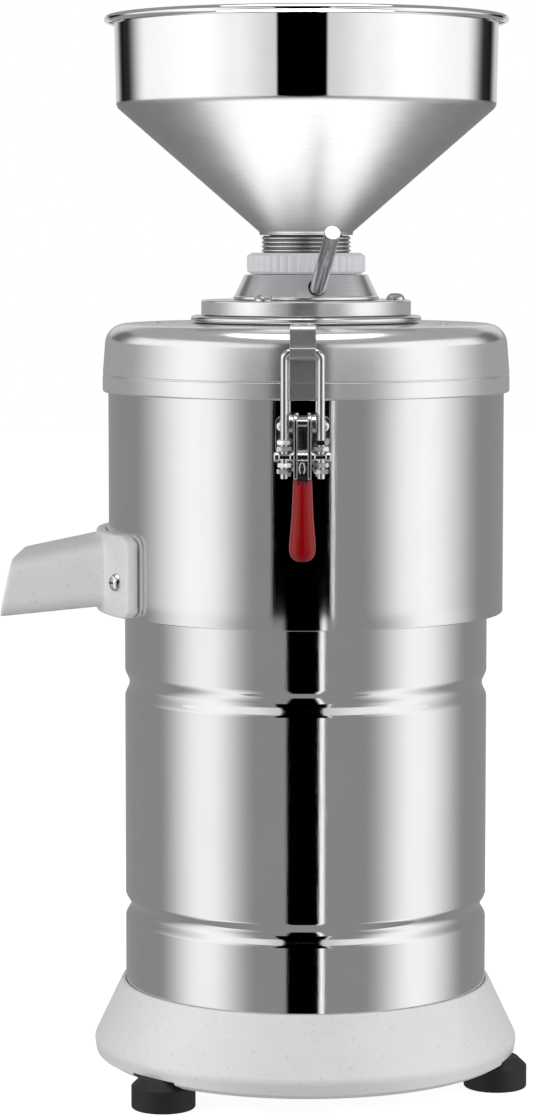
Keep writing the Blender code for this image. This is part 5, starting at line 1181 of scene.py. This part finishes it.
class MACHINE_OT_latches(bpy.types.Operator):
    """Builds the toggle latch with its U-bolt, nuts, grip and keeper, and copies it to the back"""

    bl_idname = "machine.latches"
    bl_label = "Latches"

    def execute(self, context):
        plate = self.base(context.scene.machine_sizes)
        made = [
            (plate, "latch_plate", "root", "stamped stainless", ["latch_base", "latch_pin"]),
            (self.lever(), "latch_arms", "lever", "stamped stainless", ["latch_lever"]),
            (self.grip(), "latch_sleeve", "lever", "red vinyl", ["latch_grip"]),
            (self.bail(), "latch_bolt", "bail", "plated steel", ["u_bolt"]),
            (self.trunnion(), "latch_bar", "bail", "plated steel", ["trunnion"]),
            (self.keeper(), "latch_hook", "root", "zinc sheet", ["keeper"]),
        ]
        for piece, name, body, finish, nodes in made:
            twin = behind(piece)
            for side, shown in (("front", piece), ("rear", twin)):
                rides = body if body == "root" else f"{side}_{body}"
                replaced = [f"{side}_{node}" for node in nodes]
                hand_over(shown, f"{side}_{name}", rides, finish, replaced, 40)
        return {"FINISHED"}

    def base(self, sizes):
        """A plate with rounded corners, two ears, a pin with a peened end, and two rivets."""
        half = 0.01335
        low = -0.0148
        high = 0.0032
        outline = round_corners(
            (-half, low, 0.0015),
            (half, low, 0.0015),
            (half, high, 0.0037),
            (-half, high, 0.0037),
        )
        placed = [(AXIS_X + point.x, PIVOT.z + point.y) for point in outline]
        plate = slab(placed, -0.1037, -0.0990, "front")
        seat = rod(DRUM_RADIUS + GAP, (AXIS_X, 0.0, 0.32), (AXIS_X, 0.0, 0.36), SEAT_STEPS)
        combine(plate, seat)
        soften(plate, 0.0004, angle=50.0)
        parts = [plate]
        side = round_corners(
            (0.0073, -0.0052),
            (-0.0052, -0.0052, 0.0047),
            (-0.0052, 0.0052, 0.0047),
            (0.0073, 0.0028),
        )
        for sign in (-1, 1):
            inner = AXIS_X + sign * 0.00465
            ear = slab(at_pivot(side), inner, inner + sign * 0.0019, "side")
            soften(ear, 0.0003)
            parts.append(ear)
            place = Vector((AXIS_X + sign * 0.0103, -0.1034, PIVOT.z - 0.0020))
            dome = [(0.0, 0.0013)]
            for step in range(1, 7):
                angle = math.radians(90.0 * step / 6)
                dome.append((sizes.rivet_radius * math.sin(angle), 0.0013 * math.cos(angle)))
            dome += [(sizes.rivet_radius, -0.0010), (0.0, -0.0010)]
            rivet = turned_small(*dome, steps=RIVET_STEPS)
            parts.append(stand(rivet, place, (sign * 0.10, -1.0, 0.0)))
        pin = rod(0.0020, PIVOT - Vector((0.0068, 0, 0)), PIVOT + Vector((0.0068, 0, 0)), 24, 0.0006)
        parts.append(pin)
        return join(*parts)

    def lever(self):
        """Two arms bent from one strip, a cross strip below, and a small spring loop between."""
        half = ARM_HALF_WIDTH
        outline = round_corners(
            (-half, -ARM_FOOT, 0.0010),
            (half, -ARM_FOOT, 0.0010),
            (half, half, half * 0.98),
            (-half, half, half * 0.98),
        )
        parts = []
        for sign in (-1, 1):
            outer = AXIS_X + sign * 0.00435
            arm = slab(at_pivot(outline), outer - sign * 0.0019, outer, "side")
            soften(arm, 0.0005)
            parts.append(arm)
            for level, size in ((0.0, 0.0020), (-TRUNNION_DROP, 0.0026)):
                centre = PIVOT + Vector((sign * 0.0043, 0.0, level))
                boss = rod(size + 0.0009, centre, centre + Vector((sign * 0.0003, 0, 0)), 24)
                parts.append(boss)
        bridge = block(
            (AXIS_X - 0.0042, PIVOT.y + 0.0010, PIVOT.z - ARM_FOOT),
            (AXIS_X + 0.0042, PIVOT.y + half, PIVOT.z - 0.0215),
        )
        soften(bridge, 0.0004)
        parts.append(bridge)
        tang = block(
            (AXIS_X - 0.0025, PIVOT.y - 0.0040, PIVOT.z - 0.0570),
            (AXIS_X + 0.0025, PIVOT.y - 0.0015, PIVOT.z - 0.0262),
        )
        parts.append(tang)
        loop = []
        for step in range(17):
            angle = math.radians(-50.0 + 280.0 * step / 16)
            bow = Vector((0.0013 * math.cos(angle) - 0.0002, -0.0036, 0.0030 * math.sin(angle) - 0.0222))
            loop.append(PIVOT + bow)
        parts.append(wire(loop, 0.00035, 2))
        return join(*parts)

    def grip(self):
        """The soft sleeve; its rings are (share of the length, half width, half depth)."""
        top = PIVOT.z - 0.0277
        length = 0.0400
        rings = (
            (0.000, 0.0044, 0.0036),
            (0.006, 0.0046, 0.0038),
            (0.050, 0.0047, 0.0040),
            (0.250, 0.0050, 0.0042),
            (0.450, 0.0053, 0.0043),
            (0.600, 0.0058, 0.0044),
            (0.720, 0.0063, 0.0045),
            (0.810, 0.0065, 0.0045),
            (0.880, 0.0064, 0.0044),
            (0.930, 0.0058, 0.0040),
            (0.965, 0.0048, 0.0033),
            (0.988, 0.0033, 0.0023),
            (1.000, 0.0014, 0.0010),
        )
        deselect()
        bpy.ops.mesh.primitive_circle_add(
            vertices=32, radius=1.0, fill_type="NGON", location=(AXIS_X, PIVOT.y, top)
        )
        bpy.ops.object.mode_set(mode="EDIT")
        bpy.ops.mesh.select_all(action="SELECT")
        centre = Vector((AXIS_X, PIVOT.y, top))
        width, depth = rings[0][1:]
        bpy.ops.transform.resize(value=(width, depth, 1.0), center_override=centre)
        share = 0.0
        for step, next_width, next_depth in rings[1:]:
            drop = Vector((0.0, 0.0, -(step - share) * length))
            bpy.ops.mesh.extrude_region_move(TRANSFORM_OT_translate={"value": drop})
            centre += drop
            scale = (next_width / width, next_depth / depth, 1.0)
            bpy.ops.transform.resize(value=scale, center_override=centre)
            share, width, depth = step, next_width, next_depth
        sleeve = close_up()
        tilt = math.radians(-10.0)
        hinge = Matrix.Translation((AXIS_X, PIVOT.y, top))
        sleeve.matrix_world = hinge @ Matrix.Rotation(tilt, 4, "X") @ hinge.inverted()
        pick(sleeve)
        settle()
        apply(sleeve, "SUBSURF", levels=1, render_levels=1)
        return sleeve

    def bail(self):
        """The U-bolt: a wire bent square over the hook, threaded tails and eight nuts."""
        across = BOLT_HALF
        base = PIVOT.z - TRUNNION_DROP
        line = round_corners(
            (-across, -BOLT_TAIL),
            (-across, BAR_RISE, 0.0034),
            (across, BAR_RISE, 0.0034),
            (across, -BOLT_TAIL),
            steps=8,
        )
        route = [(AXIS_X + point.x, PIVOT.y, base + point.y) for point in line]
        bow = wire(route, 0.0018, 5)
        soften(bow, 0.0004)
        parts = [bow]
        nut = self.nut()
        for sign in (-1, 1):
            for number, drop in enumerate((0.0028, 0.0059, -0.0051, -0.0082)):
                copy = copy_of(nut)
                copy.rotation_euler = (0.0, 0.0, math.radians(11.0 * number + 17.0 * sign))
                copy.location = (AXIS_X + sign * across, PIVOT.y, base + drop)
                parts.append(copy)
        bpy.data.objects.remove(nut)
        for part in parts[1:]:
            pick(part)
            settle()
        return join(*parts)

    def nut(self):
        """A hexagon nut at the origin, its corners turned down."""
        nut = rod(0.00375, (0.0, 0.0, 0.0), (0.0, 0.0, NUT_HEIGHT), 6)
        cone = turned_small(
            (0.0, NUT_HEIGHT),
            (0.0031, NUT_HEIGHT),
            (0.00385, NUT_HEIGHT - 0.0005),
            (0.00385, 0.0005),
            (0.0031, 0.0),
            (0.0, 0.0),
            steps=36,
        )
        return combine(nut, cone, "INTERSECT")

    def trunnion(self):
        """The cross bar that the arms carry, with turned-down ends."""
        base = PIVOT.z - TRUNNION_DROP
        half = (
            (0.0, 0.0140),
            (0.00245, 0.0140, 0.0008),
            (0.00245, 0.0116, 0.0004),
            (0.0021, 0.0112, 0.0003),
            (0.0021, 0.0062, 0.0003),
            (0.00245, 0.0058, 0.0004),
        )
        other_half = [(corner[0], -corner[1], *corner[2:]) for corner in reversed(half)]
        bar = turned_small(*half, *other_half, arc=3)
        return stand(bar, (AXIS_X, PIVOT.y, base), (1.0, 0.0, 0.0))

    def keeper(self):
        """A strap over the lid's shoulder with turned edges, a hook and two rivets on its tab."""
        back = 0.0052
        face = 0.0037
        tab = 0.0454
        low = 0.0107
        bar = BAR_RISE - TRUNNION_DROP
        floor = bar - 0.0021
        crease = LID_SEAM - PIVOT.z
        valley = face - 0.0069
        outline = round_corners(
            (back, low),
            (back, tab, 0.0008),
            (0.0250, tab),
            (0.0250, tab + 0.0015),
            (face, tab + 0.0015, 0.0030),
            (face, floor, 0.0008),
            (valley, floor, 0.0008),
            (valley, bar + 0.0020, 0.0004),
            (valley - 0.0015, bar + 0.0020, 0.0004),
            (valley - 0.0015, floor - 0.0015, 0.0022),
            (face, floor - 0.0015, 0.0006),
            (face, crease + 0.0004),
            (face + 0.0003, crease),
            (face, crease - 0.0004),
            (face, low, 0.0005),
        )
        strap = slab(at_pivot(outline), AXIS_X - 0.0064, AXIS_X + 0.0064, "side")
        soften(strap, 0.0003, angle=50.0)
        parts = [strap]
        for sign in (-1, 1):
            place = Vector((AXIS_X + sign * 0.0030, PIVOT.y + 0.0160, PIVOT.z + tab + 0.0013))
            rivet = turned_small(
                (0.0, 0.0009),
                (0.0017, 0.0009, 0.0007),
                (0.0021, 0.0, 0.0002),
                (0.0021, -0.0003),
                (0.0, -0.0003),
                steps=RIVET_STEPS,
            )
            parts.append(stand(rivet, place, (0.0, 0.0, 1.0)))
        return join(*parts)


# Back and inside


class MACHINE_OT_gland(bpy.types.Operator):
    """Turns the cable gland at the back, with its hexagon and ribbed dome"""

    bl_idname = "machine.gland"
    bl_label = "Cable gland"

    def execute(self, context):
        outline = round_corners(
            (0.0035, 0.0166),
            (0.0055, 0.0166, 0.0008),
            (0.0089, 0.0106, 0.0030),
            (0.0089, 0.0056, 0.0003),
            (0.0070, 0.0056),
            (0.0070, 0.0011),
            (0.0060, 0.0011),
            (0.0060, -0.0080),
            (0.0035, -0.0080),
        )
        dome = turned(outline, 64, (0.0, 0.0))
        hexagon = rod(0.0105, (0.0, 0.0, 0.0011), (0.0, 0.0, 0.0054), 6)
        combine(hexagon, rod(0.0066, (0, 0, -0.002), (0, 0, 0.010), 48))
        soften(hexagon, 0.0006, angle=40.0)
        parts = [dome, hexagon]
        for number in range(12):
            rib = block((0.0086, -0.0006, 0.0058), (0.0090, 0.0006, 0.0098))
            rib.rotation_euler = (0.0, 0.0, math.radians(30.0 * number))
            soften(rib, 0.0002, 1, 50.0)
            pick(rib)
            settle()
            parts.append(rib)
        gland = join(*parts)
        gland.rotation_euler = (math.radians(-90.0), 0.0, 0.0)
        gland.location = (AXIS_X, HOUSING_RADIUS, GLAND_LEVEL)
        hand_over(gland, "gland_dome", "root", "black plastic", ["cable_gland"])
        return {"FINISHED"}


SOLID_FINISHES = {
    "cast aluminium": ["chamber_floor", "lower_end_shield", "stone_carrier"],
    "hopper steel": ["feed_screw"],
    "plated steel": [
        "foot_bolt_front_left",
        "foot_bolt_front_right",
        "foot_bolt_rear",
        "motor_shaft",
        "lower_bearing",
        "upper_bearing",
        "tie_bolt_left",
        "tie_bolt_right",
    ],
    "zinc sheet": ["bottom_plate"],
    "black rubber": ["lid_seal", "shaft_seal"],
    "silicone": ["spout_gasket"],
    "black plastic": ["switch_frame", "switch_rocker", "cooling_fan"],
    "millstone": ["upper_stone", "lower_stone"],
    "core iron": ["stator_core", "rotor_core"],
    "copper wire": ["upper_winding", "lower_winding"],
}


class MACHINE_OT_solids(bpy.types.Operator):
    """Dresses the frame's own solids: motor, stones, seals, switch and bottom plate"""

    bl_idname = "machine.solids"
    bl_label = "Frame solids"

    def execute(self, context):
        for finish, names in SOLID_FINISHES.items():
            for name in names:
                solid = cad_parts[name]
                solid.data.materials.clear()
                solid.data.materials.append(bpy.data.materials[finish])
        return {"FINISHED"}


# Studio


def glowing_wall(name, radius, low, high, stops):
    """A ring of light from low to high; stops are (degrees from the front to the right, brightness)."""
    deselect()
    bpy.ops.mesh.primitive_cylinder_add(
        vertices=96,
        radius=radius,
        depth=high - low,
        end_fill_type="NOTHING",
        location=(AXIS_X, 0.0, (low + high) / 2),
    )
    settle()
    wall = bpy.context.object
    wall.name = name
    strength = bpy.context.scene.studio.wall_strength
    finish = Finish(name, Roughness=1.0, Specular_IOR_Level=0.0, Emission_Strength=strength)
    turn = finish.node("ShaderNodeMath", {"operation": "ARCTAN2"}, {0: finish.x, 1: finish.y * -1.0})
    share = turn / math.tau + 0.5
    table = [(degrees / 360.0 + 0.5, value) for degrees, value in stops]
    glow = finish.node("ShaderNodeValToRGB", {"stops": table}, {"Fac": share})
    glow.socket.node.color_ramp.interpolation = "EASE"
    wall.data.materials.append(finish.surface(Base_Color=(0.0, 0.0, 0.0, 1.0), Emission_Color=glow))
    wall.visible_camera = False
    wall.visible_shadow = False


class MACHINE_OT_stage(bpy.types.Operator):
    """Sets up the pale floor, the light walls, the soft lamps and the camera"""

    bl_idname = "machine.stage"
    bl_label = "Studio"

    def execute(self, context):
        studio = context.scene.studio
        context.scene.view_settings.view_transform = "Standard"
        self.room(context.scene, studio)
        self.floor()
        grey = 0.24
        glowing_wall(
            "light_wall_low",
            studio.wall_radius,
            -1.20,
            WALL_STEP,
            [(-180, grey), (-103, grey), (-65, 0.90), (-60, 0.90), (-28, grey)]
            + [(-10.5, grey), (-10.2, 0.0), (9.2, 0.0), (9.4, 1.0), (11.4, 1.0), (11.7, grey)]
            + [(35, grey), (70, 0.93), (75, 0.93), (119, grey), (180, grey)],
        )
        glowing_wall(
            "light_wall_middle",
            studio.wall_radius,
            WALL_STEP,
            1.10,
            [(-180, grey), (-113, grey), (-64, 0.96), (-56, 0.93), (-26, grey)]
            + [(-17.4, grey), (-17.1, 0.0), (14.2, 0.0), (14.4, 1.0), (15.4, 1.0), (15.7, grey)]
            + [(31, grey), (62, 0.93), (70, 0.96), (119, grey), (180, grey)],
        )
        glowing_wall(
            "light_wall_hopper",
            studio.hopper_wall_radius,
            0.445,
            0.62,
            [(-180, 0.60), (-149, 0.50), (-134, 0.01), (-124, 0.02), (-100, 0.85), (-57, 0.96)]
            + [(-38, 0.82), (-14.4, 0.58), (-14.1, 0.0), (11.9, 0.0), (12.2, 0.58), (38, 0.82)]
            + [(57, 0.96), (100, 0.85), (124, 0.02), (134, 0.01), (149, 0.50), (180, 0.60)],
        )
        above = Vector((AXIS_X, -0.20, 1.70))
        target = Vector((AXIS_X, 0.0, 0.3))
        self.lamp("top_lamp", "lit from above", above, target, size=1.30, power=12.0)
        ahead = Vector((-0.30, -1.50, 0.50))
        target = Vector((AXIS_X, 0.0, 0.20))
        self.lamp("front_lamp", "lit from the front", ahead, target, size=1.00, power=4.0)
        card = Vector((AXIS_X, -0.13, FLANGE_TOP + 0.0006))
        target = card + Vector((0.0, 0.0, 1.0))
        self.lamp("hopper_card", "lit by the card", card, target, size=0.25, power=0.39)
        self.camera(context.scene, studio)
        return {"FINISHED"}

    def room(self, scene, studio):
        """Grey for what metal reflects, white for the picture's background."""
        world = bpy.data.worlds.new("room")
        world.use_nodes = True
        tree = world.node_tree
        shown = tree.nodes["Background"]
        shown.inputs["Color"].default_value = (studio.room_grey,) * 3 + (1.0,)
        white = tree.nodes.new("ShaderNodeBackground")
        white.inputs["Color"].default_value = (1.0, 1.0, 1.0, 1.0)
        rays = tree.nodes.new("ShaderNodeLightPath")
        mix = tree.nodes.new("ShaderNodeMixShader")
        tree.links.new(rays.outputs["Is Camera Ray"], mix.inputs["Fac"])
        tree.links.new(shown.outputs[0], mix.inputs[1])
        tree.links.new(white.outputs[0], mix.inputs[2])
        tree.links.new(mix.outputs[0], tree.nodes["World Output"].inputs["Surface"])
        scene.world = world

    def floor(self):
        deselect()
        bpy.ops.mesh.primitive_circle_add(vertices=96, radius=6.0, fill_type="NGON")
        ground = bpy.context.object
        ground.name = "floor"
        settle()
        finish = Finish("floor", Specular_IOR_Level=0.0, Emission_Strength=0.90, Roughness=0.9)
        mottle = finish.noise(finish.place, 3.0, 2.0)
        tint = finish.blend(mottle, (0.34, 0.34, 0.34, 1.0), (0.36, 0.36, 0.36, 1.0))
        ground.data.materials.append(finish.surface(Base_Color=tint, Emission_Color=(1.0, 1.0, 1.0, 1.0)))
        ground.visible_glossy = False
        ground.visible_diffuse = False
        ground.visible_shadow = False

    def lamp(self, name, collection, place, target, size, power):
        """A round soft lamp that lights only the pieces of its collection."""
        deselect()
        bpy.ops.object.light_add(type="AREA", location=place)
        lamp = bpy.context.object
        lamp.name = name
        lamp.data.name = name
        lamp.data.shape = "DISK"
        lamp.data.size = size
        lamp.data.energy = power
        lamp.rotation_euler = (target - place).to_track_quat("-Z", "Y").to_euler()
        lamp.visible_camera = False
        lamp.light_linking.receiver_collection = bpy.data.collections.new(collection)

    def camera(self, scene, studio):
        place = Vector((studio.camera_side, -studio.camera_distance, studio.camera_height))
        view = Vector((0.0, 0.0, studio.aim_height)) - place
        bpy.ops.object.camera_add(location=place, rotation=view.to_track_quat("-Z", "Y").to_euler())
        camera = bpy.context.object
        camera.name = "camera"
        camera.data.sensor_width = 36.0
        camera.data.lens = studio.lens
        camera.data.clip_start = 0.05
        camera.data.clip_end = 50.0
        scene.camera = camera


# Panel and run


class MACHINE_PT_panel(bpy.types.Panel):
    """Lists the operators and the settings"""

    bl_idname = "MACHINE_PT_panel"
    bl_label = "Peanut Butter Machine"
    bl_space_type = "VIEW_3D"
    bl_region_type = "UI"
    bl_category = "Machine"

    def draw(self, context):
        layout = self.layout
        for operator in OPERATORS:
            layout.operator(operator.bl_idname)
        for group in (context.scene.machine_sizes, context.scene.machine_colours, context.scene.studio):
            box = layout.box()
            for key in group.__annotations__:
                box.prop(group, key)


OPERATORS = (
    MACHINE_OT_stage,
    MACHINE_OT_finishes,
    MACHINE_OT_drums,
    MACHINE_OT_base,
    MACHINE_OT_lid,
    MACHINE_OT_adjuster,
    MACHINE_OT_hopper,
    MACHINE_OT_spout,
    MACHINE_OT_latches,
    MACHINE_OT_gland,
    MACHINE_OT_solids,
)
CLASSES = (MachineSizes, MachineColours, StudioSettings, *OPERATORS, MACHINE_PT_panel)


def register():
    for item in CLASSES:
        bpy.utils.register_class(item)
    bpy.types.Scene.machine_sizes = bpy.props.PointerProperty(type=MachineSizes)
    bpy.types.Scene.machine_colours = bpy.props.PointerProperty(type=MachineColours)
    bpy.types.Scene.studio = bpy.props.PointerProperty(type=StudioSettings)


def unregister():
    del bpy.types.Scene.studio
    del bpy.types.Scene.machine_colours
    del bpy.types.Scene.machine_sizes
    for item in reversed(CLASSES):
        bpy.utils.unregister_class(item)


def main():
    register()
    bpy.ops.machine.stage()
    bpy.ops.machine.finishes()
    bpy.ops.machine.drums()
    bpy.ops.machine.base()
    bpy.ops.machine.lid()
    bpy.ops.machine.adjuster()
    bpy.ops.machine.hopper()
    bpy.ops.machine.spout()
    bpy.ops.machine.latches()
    bpy.ops.machine.gland()
    bpy.ops.machine.solids()
    deselect()


if __name__ == "__main__":
    main()
